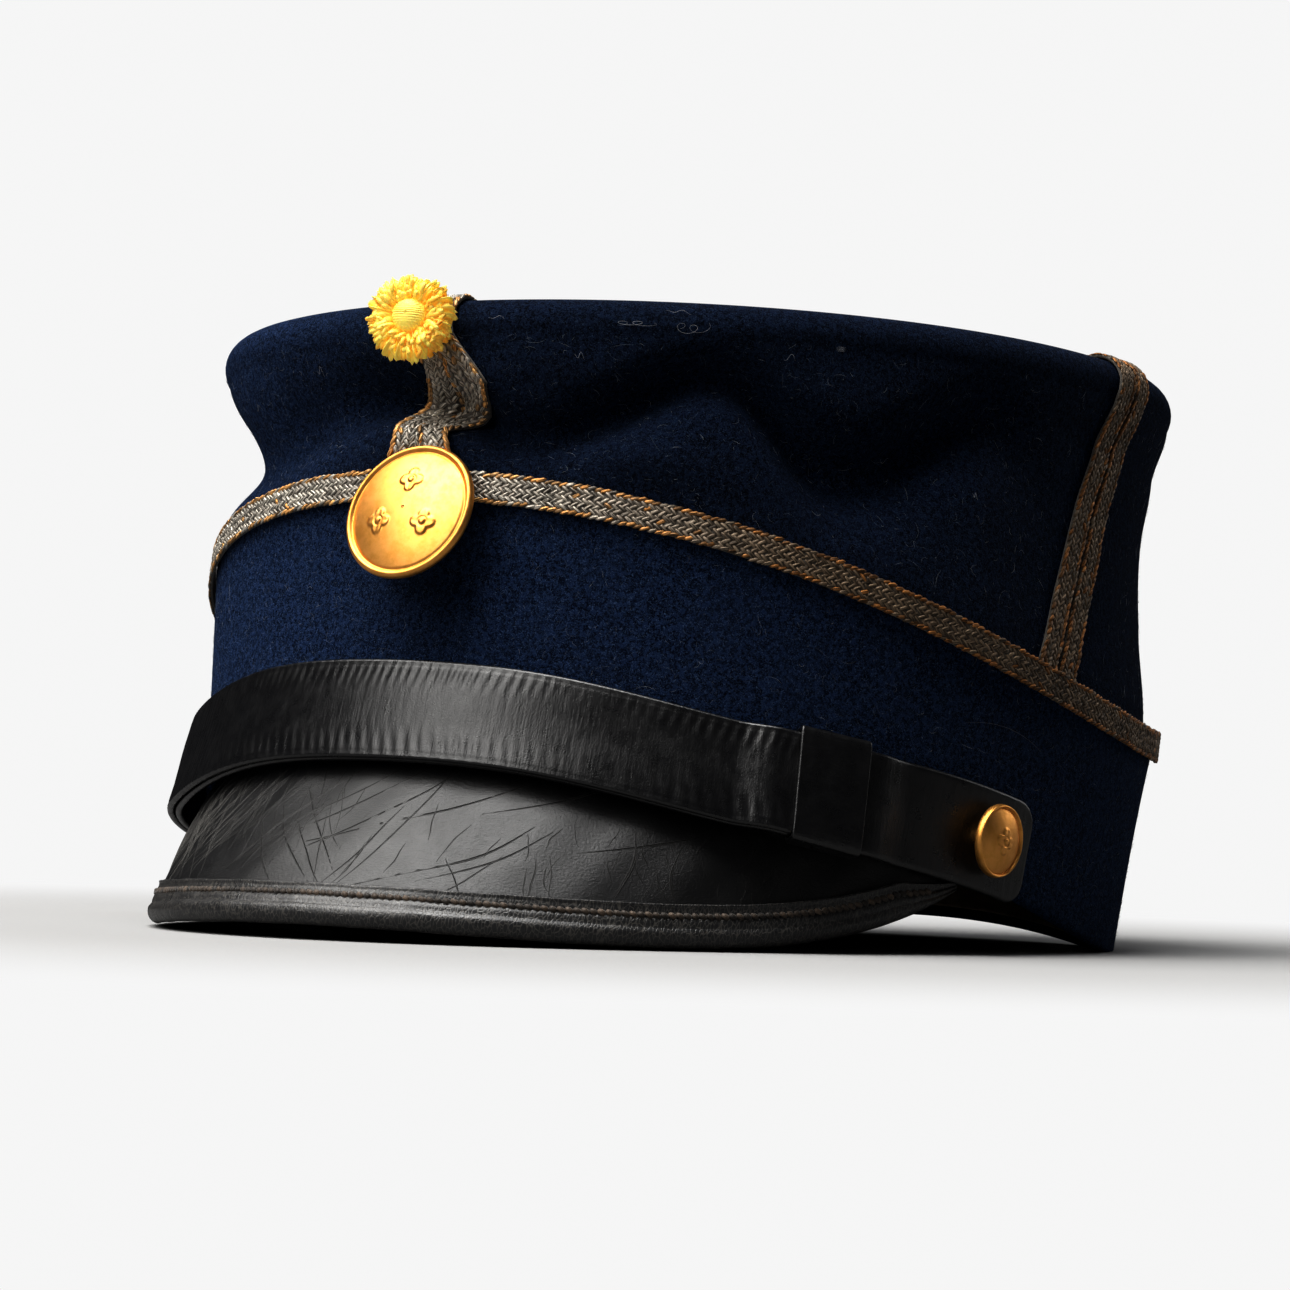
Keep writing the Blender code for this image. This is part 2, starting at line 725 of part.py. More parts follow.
def aim(item, place, direction):
    """Put an item's base at a place, its axis along a direction."""
    item.location = place
    item.rotation_euler = direction.to_track_quat("Z", "Y").to_euler()


def button_profile(radius, dome, stem_radius, stem):
    """Domed face, rolled edge, flat back and stem of a button."""
    face = [(radius * reach, dome * rise + BUTTON_EDGE * edge) for reach, rise, edge in BUTTON_TABLE]
    return face + [(stem_radius, 0.0), (stem_radius, -stem), (0.0, -stem)]


def flower_loop(middle, size, radius, dome, height):
    """Four-petalled outline at a height over a button's domed face."""
    loop = []
    for k in range(FLOWER_SIDES):
        turn = 2.0 * math.pi * k / FLOWER_SIDES
        reach = size * (FLOWER_WAIST + (1.0 - FLOWER_WAIST) * abs(math.cos(2.0 * turn)))
        x = middle[0] + reach * math.cos(turn)
        y = middle[1] + reach * math.sin(turn)
        level = BUTTON_EDGE + dome * (1.0 - BUTTON_BOW * (x * x + y * y) / radius ** 2)
        loop.append(Vector((x, y, level + height)))
    return loop


def build_flowers(name, radius, dome, places, size, frame):
    """Small flowers that stand on a button's face, as one hidden shape to join to it."""
    work = bmesh.new()
    for middle in places:
        loops = []
        for height, share in FLOWER_TABLE:
            points = flower_loop(middle, size * share, radius, dome, height * FLOWER_RELIEF)
            loops.append([work.verts.new(point) for point in points])
        for low, high in zip(loops, loops[1:]):
            for k in range(FLOWER_SIDES):
                n = (k + 1) % FLOWER_SIDES
                work.faces.new((low[k], low[n], high[n], high[k]))
        work.faces.new(loops[0])
        work.faces.new(loops[-1])
    relief = finish_mesh(name, work, bpy.data.materials["gilt_brass"], frame)
    relief.hide_render = True
    relief.display_type = "WIRE"
    return relief


def add_relief(button, relief):
    """Join a relief to a button."""
    relief.location = button.location
    relief.rotation_euler = button.rotation_euler
    union = button.modifiers.new("relief", "BOOLEAN")
    union.operation = "UNION"
    union.solver = "EXACT"
    union.object = relief


def build_front_button(brass, frame):
    """The large button below the seam, leaning back, its stem behind it on the band."""
    lean = math.radians(FRONT_BUTTON_LEAN)
    clear = CLEARANCE + FRONT_STEM_RADIUS * math.sin(lean)
    stem = FRONT_BUTTON_STANDOFF - clear
    radius = FRONT_BUTTON_RADIUS
    profile = button_profile(radius, FRONT_BUTTON_DOME, FRONT_STEM_RADIUS, stem)
    button = turned("front_button", profile, brass, frame, 28)
    side = outward(EMBLEM_ANGLE)
    axis = side * math.cos(lean) + Vector((0.0, 0.0, math.sin(lean)))
    foot = band_point(EMBLEM_ANGLE, 1.0, clear) - Vector((0.0, 0.0, FRONT_BUTTON_DROP))
    aim(button, foot + axis * stem, axis)
    turns = (math.radians(90.0 + 120.0 * k) for k in range(3))
    spread = FRONT_FLOWER_SPREAD * radius
    places = [(spread * math.cos(turn), spread * math.sin(turn)) for turn in turns]
    size = FRONT_FLOWER_SIZE * radius
    add_relief(button, build_flowers("front_relief", radius, FRONT_BUTTON_DOME, places, size, frame))


def build_side_button(name, side, brass, frame):
    """A small button on the end of a strap, turned a little towards the back."""
    radius = SIDE_BUTTON_RADIUS
    profile = button_profile(radius, SIDE_BUTTON_DOME, SIDE_STEM_RADIUS, SIDE_BUTTON_STANDOFF)
    button = turned(name, profile, brass, frame, 16)
    angle = side * SIDE_BUTTON_ANGLE
    clear = strap_stand(angle) + STRAP_WALL + 2.0 * CLEARANCE
    middle = 0.5 * STRAP_WIDTH
    foot = strap_point(angle, middle, clear)
    aside = angle + side * SIDE_BUTTON_TURN
    axis = (strap_point(aside, middle, STRAP_WALL) - strap_point(aside, middle, 0.0)).normalized()
    aim(button, foot + axis * SIDE_BUTTON_STANDOFF, axis)
    size = SIDE_FLOWER_SIZE * radius
    relief = build_flowers(name + "_relief", radius, SIDE_BUTTON_DOME, [(0.0, 0.0)], size, frame)
    add_relief(button, relief)


def build_cockade(silk, frame):
    """A domed cap of silk ringed with petals, one body, its back on the loop braids."""
    count = 3 * COCKADE_PETALS
    work = bmesh.new()
    rings = []
    for radius, height, petal in COCKADE_TABLE:
        ring = []
        for k in range(count):
            turn = 2.0 * math.pi * k / count
            reach = COCKADE_RADIUS * radius * (1.0 + petal * math.cos(COCKADE_PETALS * turn))
            lift = COCKADE_DOME * height * (1.0 + petal * math.sin(3.0 * turn))
            ring.append(work.verts.new((reach * math.cos(turn), reach * math.sin(turn), lift)))
        rings.append(ring)
    front = work.verts.new((0.0, 0.0, COCKADE_DOME))
    back = work.verts.new((0.0, 0.0, 0.0))
    for low, high in zip(rings, rings[1:]):
        for k in range(count):
            n = (k + 1) % count
            work.faces.new((low[k], low[n], high[n], high[k]))
    for ring, pole in ((rings[0], front), (rings[-1], back)):
        for k in range(count):
            work.faces.new((ring[k], ring[(k + 1) % count], pole))
    cockade = finish_mesh("cockade", work, silk, frame)
    back = COCKADE_TABLE[-1][0] * COCKADE_RADIUS * math.sin(math.radians(COCKADE_TURN))
    widest = ROLL_LEAD / (ROLL_LEAD + ROLL_TURN)
    place = roll_point(EMBLEM_ANGLE, widest, 2.0 * CLEARANCE + BRAID_WALL + back)
    aim(cockade, place, outward(EMBLEM_ANGLE + COCKADE_TURN))


def build_floor_block():
    """A hidden block under the floor, which cuts the rim flat where the cap lies on it."""
    size = 4.0 * CROWN_HALF_DEPTH
    work = bmesh.new()
    bmesh.ops.create_cube(work, size=size)
    bmesh.ops.translate(work, verts=work.verts, vec=(0.0, 0.0, -size / 2.0))
    mesh = bpy.data.meshes.new("floor_block")
    work.to_mesh(mesh)
    work.free()
    block = bpy.data.objects.new("floor_block", mesh)
    block.hide_render = True
    block.display_type = "WIRE"
    bpy.context.scene.collection.objects.link(block)
    return block


def lowest(points, lean):
    """Lowest point of a set once the cap leans back."""
    turn = Matrix.Rotation(-lean, 3, "X")
    return min((turn @ point).z for point in points)


def rest_lean():
    """Lean at which the peak's edge and the flattened rim lie on one level, by halving."""
    edge = [point for angle in PEAK_ANGLES for point in binding_section(angle)]
    rim = [band_point(angle, 0.0) for angle in RING_ANGLES]
    low, high = 0.0, math.radians(30.0)
    for _ in range(50):
        lean = (low + high) / 2.0
        if lowest(edge, lean) < lowest(rim, lean) + RIM_FLAT:
            low = lean
        else:
            high = lean
    return lean, -lowest(edge, lean)


def centre_on_floor(frame):
    """Bring the middle of the cap's outline over the origin."""
    bpy.context.view_layer.update()
    graph = bpy.context.evaluated_depsgraph_get()
    points = []
    for item in frame.children:
        if item.type == "MESH" and not item.hide_render:
            shape = item.evaluated_get(graph)
            points += [shape.matrix_world @ vertex.co for vertex in shape.data.vertices]
    for axis in (0, 1):
        values = [point[axis] for point in points]
        frame.location[axis] -= (min(values) + max(values)) / 2.0


def main():
    """Build the cap and lay it on the floor."""
    for item in list(bpy.data.objects):
        bpy.data.objects.remove(item, do_unlink=True)
    frame = bpy.data.objects.new("cap_frame", None)
    bpy.context.scene.collection.objects.link(frame)
    lean, lift = rest_lean()
    frame.rotation_euler = (-lean, 0.0, 0.0)
    frame.location = (0.0, 0.0, lift)

    cloth = make_material("navy_cloth", (0.012, 0.022, 0.065), 0.92)
    braid = make_material("tarnished_braid", (0.13, 0.11, 0.085), 0.55, 0.35)
    patent = make_material("black_leather", (0.012, 0.012, 0.013), 0.32)
    tan = make_material("tan_leather", (0.42, 0.31, 0.20), 0.6)
    brass = make_material("gilt_brass", (0.80, 0.52, 0.16), 0.28, 1.0)
    silk = make_material("yellow_silk", (0.85, 0.58, 0.03), 0.6)

    build_band(cloth, frame, build_floor_block())
    build_crown(cloth, frame)
    build_top_disc(cloth, frame)
    build_sweatband(tan, frame)
    build_peak(patent, frame)
    build_binding(patent, frame)
    build_ring_braid(braid, frame)
    build_side_braids(braid, frame)
    build_back_braids(braid, frame)
    build_loop_braids(braid, frame)
    build_inner_strap(patent, frame)
    build_outer_strap(patent, frame)
    build_keeper(patent, frame)
    build_front_button(brass, frame)
    build_side_button("side_button_left", 1.0, brass, frame)
    build_side_button("side_button_right", -1.0, brass, frame)
    build_cockade(silk, frame)
    centre_on_floor(frame)


main()
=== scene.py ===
"""Looks of the uniform cap: felted navy cloth, plaited braid, creased patent leather, gilt buttons
and a silk cockade, on a pale floor in soft light.

Lengths are in metres. Each surface is worked out in the cap's own frame, where the wearer faces
-Y, +X is the wearer's left, and z = 0 is the rim's height at the front and the back. Angles run
from the front (0) over the wearer's left (+90) to the back (180). place() then leans the points
back, as the cap lies on the floor.
"""

import math

import bpy
import numpy as np
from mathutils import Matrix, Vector


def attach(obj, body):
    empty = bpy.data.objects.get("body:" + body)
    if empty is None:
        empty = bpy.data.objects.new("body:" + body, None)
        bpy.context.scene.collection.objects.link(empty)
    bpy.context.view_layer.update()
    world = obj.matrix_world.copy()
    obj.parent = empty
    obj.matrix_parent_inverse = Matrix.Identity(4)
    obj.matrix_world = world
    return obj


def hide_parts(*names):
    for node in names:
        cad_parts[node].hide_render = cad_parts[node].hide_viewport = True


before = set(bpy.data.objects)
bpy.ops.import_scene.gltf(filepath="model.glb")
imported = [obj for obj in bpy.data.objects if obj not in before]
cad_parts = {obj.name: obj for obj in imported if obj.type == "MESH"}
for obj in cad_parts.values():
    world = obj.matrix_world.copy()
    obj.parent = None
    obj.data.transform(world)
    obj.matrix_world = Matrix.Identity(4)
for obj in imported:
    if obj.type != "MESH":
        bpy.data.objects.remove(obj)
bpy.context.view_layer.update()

# How the cap lies
CAP_LEAN = -10.4413
CAP_PLACE = (0.0, 0.00474, 0.02033)

# Band
BAND_HALF_DEPTH = 0.0925
BAND_HALF_WIDTH = 0.0907
BAND_HEIGHT = 0.0395
BAND_RISE = 0.0065
BAND_WALL = 0.0026
RIM_DIP = 0.0130
RIM_FORWARD = 0.0092
RIM_TUCK_FRONT = 0.0045
RIM_TUCK_BACK = 0.0010
SEAM_SWELL = 0.0013
ROLLED_RIM = 0.03

# Crown
CROWN_HALF_DEPTH = 0.0953
CROWN_HALF_WIDTH = 0.0898
CROWN_HEIGHT = 0.0504
CROWN_SLOPE = 0.0101
CROWN_SIDE_TILT = 0.0029
CROWN_SHIFT_FORWARD = 0.0039
CROWN_SHIFT_RIGHT = 0.0016
CROWN_WALL = 0.0020
ROLL_RADIUS = 0.0050
ROLL_LEAD = 25.0
ROLL_TURN = 125.0
WAIST_DEPTH = 0.0033
FOLD_TO_WAIST = 0.0050
TOP_WALL = 0.0020
TOP_RIPPLE = 0.0005

# Sweatband
SWEATBAND_WALL = 0.0012
SWEATBAND_HEIGHT = 0.0300
SWEATBAND_INSET = 0.0020
SWEATBAND_WAVE = 0.0002

# Peak and its binding
PEAK_REACH = 0.0217
PEAK_DROP = 0.0371
PEAK_REACH_POWER = 3.0
PEAK_DROP_POWER = 0.84
PEAK_SIDE_FULLNESS = 0.42
PEAK_HALF_ANGLE = 76.3
PEAK_END_ANGLE = 74.5
PEAK_INSET = 0.0016
PEAK_ARCH = 0.0012
PEAK_WALL = 0.0022
# Ripples of the peak. Columns: height in metres, waves round the cap, slant, start
PEAK_RIPPLES = (
    (0.00022, 9.0, 3.0, 0.0),
    (0.00012, 23.0, -5.0, 1.0),
    (0.00010, 41.0, 8.0, 0.0),
)
BINDING_WIDTH = 0.0075
BINDING_SHARE = 0.55
BINDING_WALL = 0.0008
BINDING_SKIN = 0.0004

# Braid
BRAID_WALL = 0.0009
RING_BRAID_WIDTH = 0.0057
SIDE_BRAID_WIDTH = 0.0056
SIDE_BRAID_FOOT = 84.0
SIDE_BRAID_HEAD = 98.0
BRAID_SLIT = 0.0008
LOOP_BRAID_WIDTH = 0.0071
LOOP_SPREAD = 0.0012
LOOP_LIFT = 0.0010
LOOP_ANGLE = 2.0

# The loop's swing to the wearer's left. Columns: height share, degrees for its right-hand edge,
# for its middle and for its left-hand edge
LOOP_TABLE = (
    (0.00, 0.0, 0.0, 0.0),
    (0.15, 0.1, -0.4, -1.0),
    (0.28, 0.8, -0.2, -1.2),
    (0.40, 0.5, -0.3, -1.8),
    (0.52, 0.2, 1.4, 2.4),
    (0.66, 1.6, 2.8, 4.0),
    (0.80, 4.4, 3.2, 2.4),
    (0.90, 3.4, 2.2, 1.2),
    (1.00, 0.0, 0.0, 0.0),
)

# Chin strap and keeper
STRAP_WIDTH = 0.0190
STRAP_WALL = 0.0013
STRAP_LIFT = 0.0134
STRAP_SAG = 0.0025
STRAP_END_RISE = 0.0040
STRAP_END_ROUND = 0.0040
STRAP_LEAN = 0.0046
STRAP_LEAN_START = 74.0
STRAP_LEAN_FULL = 45.0
STRAP_END_ANGLE = 83.5
OUTER_TIP_ANGLE = 57.0
INNER_TIP_ANGLE = 61.0
OVERLAP_RUN = 8.0
KEEPER_ANGLE = 53.5
KEEPER_LENGTH = 0.0130
KEEPER_WALL = 0.0011
KEEPER_ROOM = 0.0004
KEEPER_SNUG = 0.0002
KEEPER_SKIN = 0.0009
KEEPER_RISE_REACH = 11.0
KEEPER_RISE_RUN = 5.0

# Buttons and cockade
EMBLEM_ANGLE = 2.6
FRONT_BUTTON_RADIUS = 0.01325
FRONT_BUTTON_DOME = 0.0022
FRONT_BUTTON_STANDOFF = 0.0050
FRONT_BUTTON_DROP = 0.0072
FRONT_BUTTON_LEAN = 12.0
FRONT_STEM_RADIUS = 0.0018
FRONT_FLOWER_SPREAD = 0.42
FRONT_FLOWER_SIZE = 0.20
SIDE_BUTTON_RADIUS = 0.00675
SIDE_BUTTON_DOME = 0.0012
SIDE_BUTTON_STANDOFF = 0.0018
SIDE_BUTTON_ANGLE = 76.2
SIDE_BUTTON_TURN = 11.0
SIDE_STEM_RADIUS = 0.0016
SIDE_FLOWER_SIZE = 0.40
BUTTON_EDGE = 0.0011
COCKADE_RADIUS = 0.0084
COCKADE_DOME = 0.0058
COCKADE_TURN = 8.0

CLEARANCE = 0.0003
UP = np.array((0.0, 0.0, 1.0))

# The crown's fold. Columns: angle in degrees, height of the crease as a share of the wall,
# depth of the crease in metres, its half width below and above as shares of the wall
CREASE_TABLE = (
    (-180.0, 0.55, 0.0000, 0.30, 0.30),
    (-106.0, 0.55, 0.0000, 0.30, 0.30),
    (-88.0, 0.58, 0.0030, 0.30, 0.30),
    (-70.0, 0.60, 0.0070, 0.26, 0.26),
    (-56.0, 0.60, 0.0096, 0.24, 0.24),
    (-46.0, 0.52, 0.0082, 0.24, 0.26),
    (-36.0, 0.36, 0.0052, 0.24, 0.34),
    (-27.0, 0.32, 0.0040, 0.22, 0.36),
    (-19.0, 0.44, 0.0044, 0.24, 0.30),
    (-12.0, 0.58, 0.0060, 0.24, 0.22),
    (-5.0, 0.62, 0.0086, 0.18, 0.18),
    (2.6, 0.60, 0.0126, 0.15, 0.18),
    (8.0, 0.52, 0.0098, 0.16, 0.16),
    (12.0, 0.38, 0.0060, 0.18, 0.15),
    (16.0, 0.37, 0.0058, 0.20, 0.14),
    (20.0, 0.46, 0.0074, 0.20, 0.13),
    (26.0, 0.60, 0.0082, 0.18, 0.12),
    (31.0, 0.74, 0.0080, 0.18, 0.10),
    (36.0, 0.84, 0.0066, 0.16, 0.08),
    (40.0, 0.82, 0.0064, 0.16, 0.09),
    (44.0, 0.70, 0.0082, 0.20, 0.12),
    (48.0, 0.53, 0.0094, 0.22, 0.15),
    (52.0, 0.45, 0.0092, 0.20, 0.16),
    (57.0, 0.51, 0.0082, 0.20, 0.14),
    (63.0, 0.66, 0.0078, 0.20, 0.13),
    (68.0, 0.78, 0.0064, 0.20, 0.11),
    (73.0, 0.83, 0.0044, 0.20, 0.10),
    (79.0, 0.76, 0.0018, 0.20, 0.12),
    (86.0, 0.60, 0.0000, 0.25, 0.20),
    (180.0, 0.55, 0.0000, 0.30, 0.30),
)
CREASE_BLUR = 2.5

# The crown's plain wall. Columns: height share, inset as a share of WAIST_DEPTH
WAIST_TABLE = (
    (0.00, 0.00),
    (0.08, 0.62),
    (0.35, 0.90),
    (0.62, 1.00),
    (0.82, 0.72),
    (1.00, 0.00),
)

# Small dents in the crown's cloth. Columns: angle, height share, half width in degrees, half
# height share, turn in degrees, depth in metres (below zero for a bulge)
DENT_TABLE = (
    (-21.0, 0.55, 5.0, 0.22, 20.0, 0.0016),
    (-13.0, 0.60, 4.0, 0.20, -15.0, -0.0012),
    (-33.0, 0.40, 7.0, 0.20, 30.0, 0.0012),
    (8.0, 0.74, 6.0, 0.14, 0.0, -0.0010),
    (30.0, 0.30, 10.0, 0.16, 15.0, -0.0014),
    (17.0, 0.66, 4.0, 0.12, 35.0, 0.0010),
    (44.0, 0.92, 8.0, 0.10, 0.0, 0.0008),
    (66.0, 0.36, 9.0, 0.20, -20.0, 0.0012),
    (-62.0, 0.50, 8.0, 0.25, -10.0, 0.0014),
    (118.0, 0.50, 16.0, 0.30, 0.0, 0.0012),
    (152.0, 0.42, 12.0, 0.26, 20.0, -0.0010),
    (-120.0, 0.55, 14.0, 0.28, -15.0, 0.0012),
    (-156.0, 0.45, 13.0, 0.26, 10.0, -0.0009),
)

# Long cracks in the peak's patent skin. Columns: start angle, start share of the slope, end
# angle, end share, bow in degrees, width in metres
CRACK_TABLE = (
    (8.5, 0.10, -11.5, 0.74, 2.0, 0.00030),
    (12.0, 0.12, -7.0, 0.78, 2.4, 0.00032),
    (-1.0, 0.16, -12.0, 0.78, -0.8, 0.00028),
    (4.0, 0.16, -8.0, 0.56, 1.2, 0.00026),
    (21.0, 0.16, -8.0, 0.70, 3.6, 0.00034),
    (30.0, 0.10, 16.0, 0.40, 2.0, 0.00030),
    (22.0, 0.44, 4.5, 0.86, 3.0, 0.00034),
    (24.0, 0.46, 12.0, 0.80, 1.6, 0.00028),
    (10.5, 0.12, 4.0, 0.84, 1.0, 0.00026),
    (7.0, 0.40, 2.5, 0.84, 0.4, 0.00024),
    (-10.0, 0.40, 1.0, 0.84, -0.6, 0.00026),
    (-8.0, 0.30, 3.5, 0.80, 0.5, 0.00024),
    (-13.0, 0.42, -3.0, 0.88, -0.4, 0.00026),
    (-5.0, 0.52, 2.5, 0.86, 0.0, 0.00024),
    (33.0, 0.40, 31.0, 0.86, 0.8, 0.00034),
    (38.0, 0.46, 38.5, 0.86, -0.8, 0.00030),
    (40.0, 0.36, 27.0, 0.56, 1.2, 0.00028),
    (23.0, 0.62, 23.0, 0.88, 0.2, 0.00024),
    (46.0, 0.60, 45.0, 0.86, 0.2, 0.00022),
    (14.0, 0.66, 17.5, 0.90, 0.0, 0.00022),
    (19.5, 0.62, 13.5, 0.90, 0.3, 0.00022),
    (-24.0, 0.20, -30.0, 0.84, 0.8, 0.00024),
    (-18.0, 0.18, -26.0, 0.82, 1.0, 0.00024),
    (-14.0, 0.24, -20.0, 0.80, -0.7, 0.00022),
)

# Short cracks beside the long ones, the most at the wearer's right. Columns: count, then ranges of
# start angle, start share and run, its two ways, range of its slant in degrees, lowest share,
# largest bow, range of widths
SHORT_CRACKS = (
    (170, (-54.0, -2.0), (0.06, 0.5), (0.12, 0.5), (-1.1, 0.8), (4.0, 26.0),
     0.86, 0.8, (1.0e-4, 1.9e-4)),
    (34, (0.0, 58.0), (0.3, 0.7), (0.1, 0.25), (-1.0, 0.6), (3.0, 12.0),
     0.88, 0.5, (1.3e-4, 2.0e-4)),
)
CRACK_STEPS = 15
# Painted highlight: the lips are paler towards the wearer's right; the angle where that starts, its
# run
LIP_HIGHLIGHT_START = -8.0
LIP_HIGHLIGHT_RUN = 22.0

# A crack's section: two lips with a cut between. Columns: across, rise, 1 on a lip and 0 in the cut
CRACK_PROFILE = np.array((
    (-1.0, -0.10, 1.0),
    (-0.62, 0.20, 1.0),
    (-0.44, 0.04, 0.0),
    (0.44, 0.04, 0.0),
    (0.62, 0.20, 1.0),
    (1.0, -0.10, 1.0),
    (0.0, -0.5, 1.0),
))

# The binding's upper face. Columns: share of its width back from the edge, rise in metres
BINDING_RIDGE = (
    (0.985, 0.00018),
    (0.950, 0.00030),
    (0.915, 0.00006),
    (0.86, -0.00006),
    (0.78, -0.00004),
    (0.735, -0.00024),
    (0.70, -0.00028),
    (0.665, -0.00024),
    (0.62, 0.0),
    (0.54, 0.00004),
    (0.46, 0.00002),
    (0.40, -0.00012),
    (0.37, -0.00006),
)
STITCH_SHARE = 0.70
STITCH_STEP = 0.00145
STITCH_SIZE = np.array((0.00118, 0.00062, 0.00056))
STITCH_TONE = np.array((0.062, 0.042, 0.027))
STITCH_LEAN = 30.0

# Strands of the braids: half length and half thickness in metres, lean in degrees, linear tones
STRAND_PITCH = 0.00135
STRAND_LENGTH = 0.00130
STRAND_THICKNESS = 0.00023
STRAND_LEAN = 34.0
STRAND_TONES = np.array((
    (0.49, 0.45, 0.39),
    (0.58, 0.54, 0.47),
    (0.41, 0.37, 0.32),
    (0.52, 0.48, 0.42),
))
EDGE_TONES = np.array(((0.90, 0.52, 0.21), (0.72, 0.39, 0.14), (0.50, 0.31, 0.15)))
# Dark core strip: painted shade in the gaps between the strands
CORE_SHADE_TONE = np.array((0.110, 0.095, 0.078))

# The braid's core strip in section. Columns: share of the width, share of the thickness
CORE_OUTLINE = np.array((
    (0.03, 0.10),
    (0.03, 0.75),
    (0.50, 0.80),
    (0.97, 0.75),
    (0.97, 0.10),
    (0.50, 0.05),
))

# The strap's puckers: heights and lengths of the waves in metres, and the pressed line's place
PUCKER_HEIGHT = 0.00012
UPPER_PUCKER_LENGTH = 0.0021
UPPER_PUCKER_INSET = 0.0026
UPPER_PUCKER_REACH = 0.0020
LOWER_PUCKER_LENGTH = 0.0025
LOWER_PUCKER_INSET = 0.0030
LOWER_PUCKER_REACH = 0.0024
FAN_HEIGHT = 0.00007
FAN_LENGTH = 0.0017
FAN_ANGLE = -46.0
PRESSED_DEPTH = 0.00010
PRESSED_INSET = 0.0010
PRESSED_WIDTH = 0.00022
SLOW_HEIGHT = 0.00018
KEEPER_SQUARENESS = 0.22
KEEPER_LIP = 0.00022
KEEPER_LIP_RUN = 0.35

# A button's rolled rim. Columns: share of the radius, rise as a share of BUTTON_EDGE
BUTTON_RIM = (
    (0.875, 1.02),
    (0.888, 0.93),
    (0.900, 1.00),
    (0.915, 1.22),
    (0.935, 1.42),
    (0.958, 1.40),
    (0.980, 1.20),
    (0.995, 0.85),
    (1.000, 0.55),
    (0.997, 0.22),
)
RELIEF_HEIGHT = 0.00030

# The cockade's profile. Columns: share of the radius, share of the dome's height, depth of the
# pleats, raggedness of the edge
COCKADE_TABLE = np.array((
    (0.03, 0.99, 0.00, 0.00),
    (0.12, 0.98, 0.00, 0.00),
    (0.22, 0.95, 0.00, 0.00),
    (0.31, 0.89, 0.01, 0.00),
    (0.37, 0.82, 0.02, 0.01),
    (0.40, 0.74, 0.04, 0.02),
    (0.42, 0.69, 0.08, 0.04),
    (0.50, 0.68, 0.15, 0.10),
    (0.62, 0.70, 0.22, 0.20),
    (0.74, 0.74, 0.26, 0.32),
    (0.86, 0.70, 0.30, 0.42),
    (0.95, 0.60, 0.30, 0.50),
    (0.98, 0.46, 0.26, 0.50),
    (0.93, 0.30, 0.20, 0.42),
    (0.80, 0.16, 0.12, 0.30),
    (0.60, 0.06, 0.04, 0.10),
    (0.30, 0.00, 0.00, 0.00),
))
COCKADE_PRESSED = 0.82
THREAD_PITCH = 0.00046
TUFT_COUNT = 320
LOOSE_COUNT = 60
# Tufts. Columns: share of the radius, then share of the dome's height or tilt in degrees
TUFT_LEVELS = np.array(((0.50, 0.70), (0.62, 0.78), (0.80, 0.76), (0.95, 0.60), (1.02, 0.48)))
TUFT_TILTS = np.array(((0.50, 36.0), (0.75, 8.0), (1.00, -34.0)))
# Ranges of a tuft's half length, half width and half height
TUFT_SIZES = ((0.0009, 0.0018), (0.00038, 0.00062), (0.00022, 0.00034))
BRIGHT_SILK = np.array((1.0, 0.80, 0.17))
DEEP_SILK = np.array((1.0, 0.50, 0.03))

# Long hairs on the cloth. Columns: angle, climb (0 to 1 up the wall, above 1 over the roll), half
# length along the cap and half height in metres, turns of its curl, bow
HAIR_TABLE = (
    (28.2, 1.14, 0.0042, 0.0012, 1.2, 0.3),
    (34.6, 1.12, 0.0034, 0.0026, 1.15, -0.4),
    (33.0, 1.34, 0.0030, 0.0010, 0.8, 0.5),
    (12.0, 1.20, 0.0022, 0.0008, 0.6, 0.5),
    (52.0, 1.00, 0.0009, 0.0008, 2.6, 0.0),
    (70.2, 0.53, 0.0007, 0.0004, 0.8, 0.4),
    (-15.2, 0.82, 0.0012, 0.0010, 0.7, 0.6),
    (46.0, 0.93, 0.0014, 0.0006, 0.5, 0.8),
    (60.0, 0.60, 0.0013, 0.0005, 0.4, -0.6),
    (-32.0, 0.70, 0.0016, 0.0006, 0.5, 0.5),
    (22.0, 0.86, 0.0012, 0.0008, 0.7, 0.4),
    (160.0, 1.10, 0.0040, 0.0014, 1.1, 0.3),
    (-128.0, 0.90, 0.0030, 0.0011, 0.9, -0.4),
)
HAIR_THICKNESS = 0.000055
HAIR_TONE = np.array((0.42, 0.44, 0.50))
DIM_HAIR_TONE = (0.20, 0.22, 0.28)

# Lint. Columns: name, count of fibres, range of height shares
LINT_TABLE = (("band_lint", 3200, (0.04, 0.93)), ("crown_lint", 3400, (0.10, 1.0)))
LINT_LENGTH = 0.00056
LINT_RANGE = (0.0002, 0.0022)
LINT_THICKNESS = (0.00002, 0.000045)
LINT_TONE = np.array((0.06, 0.09, 0.15))
LINT_PALER = np.array((0.45, 0.48, 0.50))
WALL_RISE = 0.045

# Stations along the surfaces
RING = np.arange(0.0, 360.0, 0.75)
PEAK_ANGLES = np.linspace(-PEAK_END_ANGLE, PEAK_END_ANGLE, 380)
BRAID_ROWS = np.linspace(0.0, 1.0, 60)
BRAID_OVER = np.linspace(0.0, 1.0, 16)[1:]

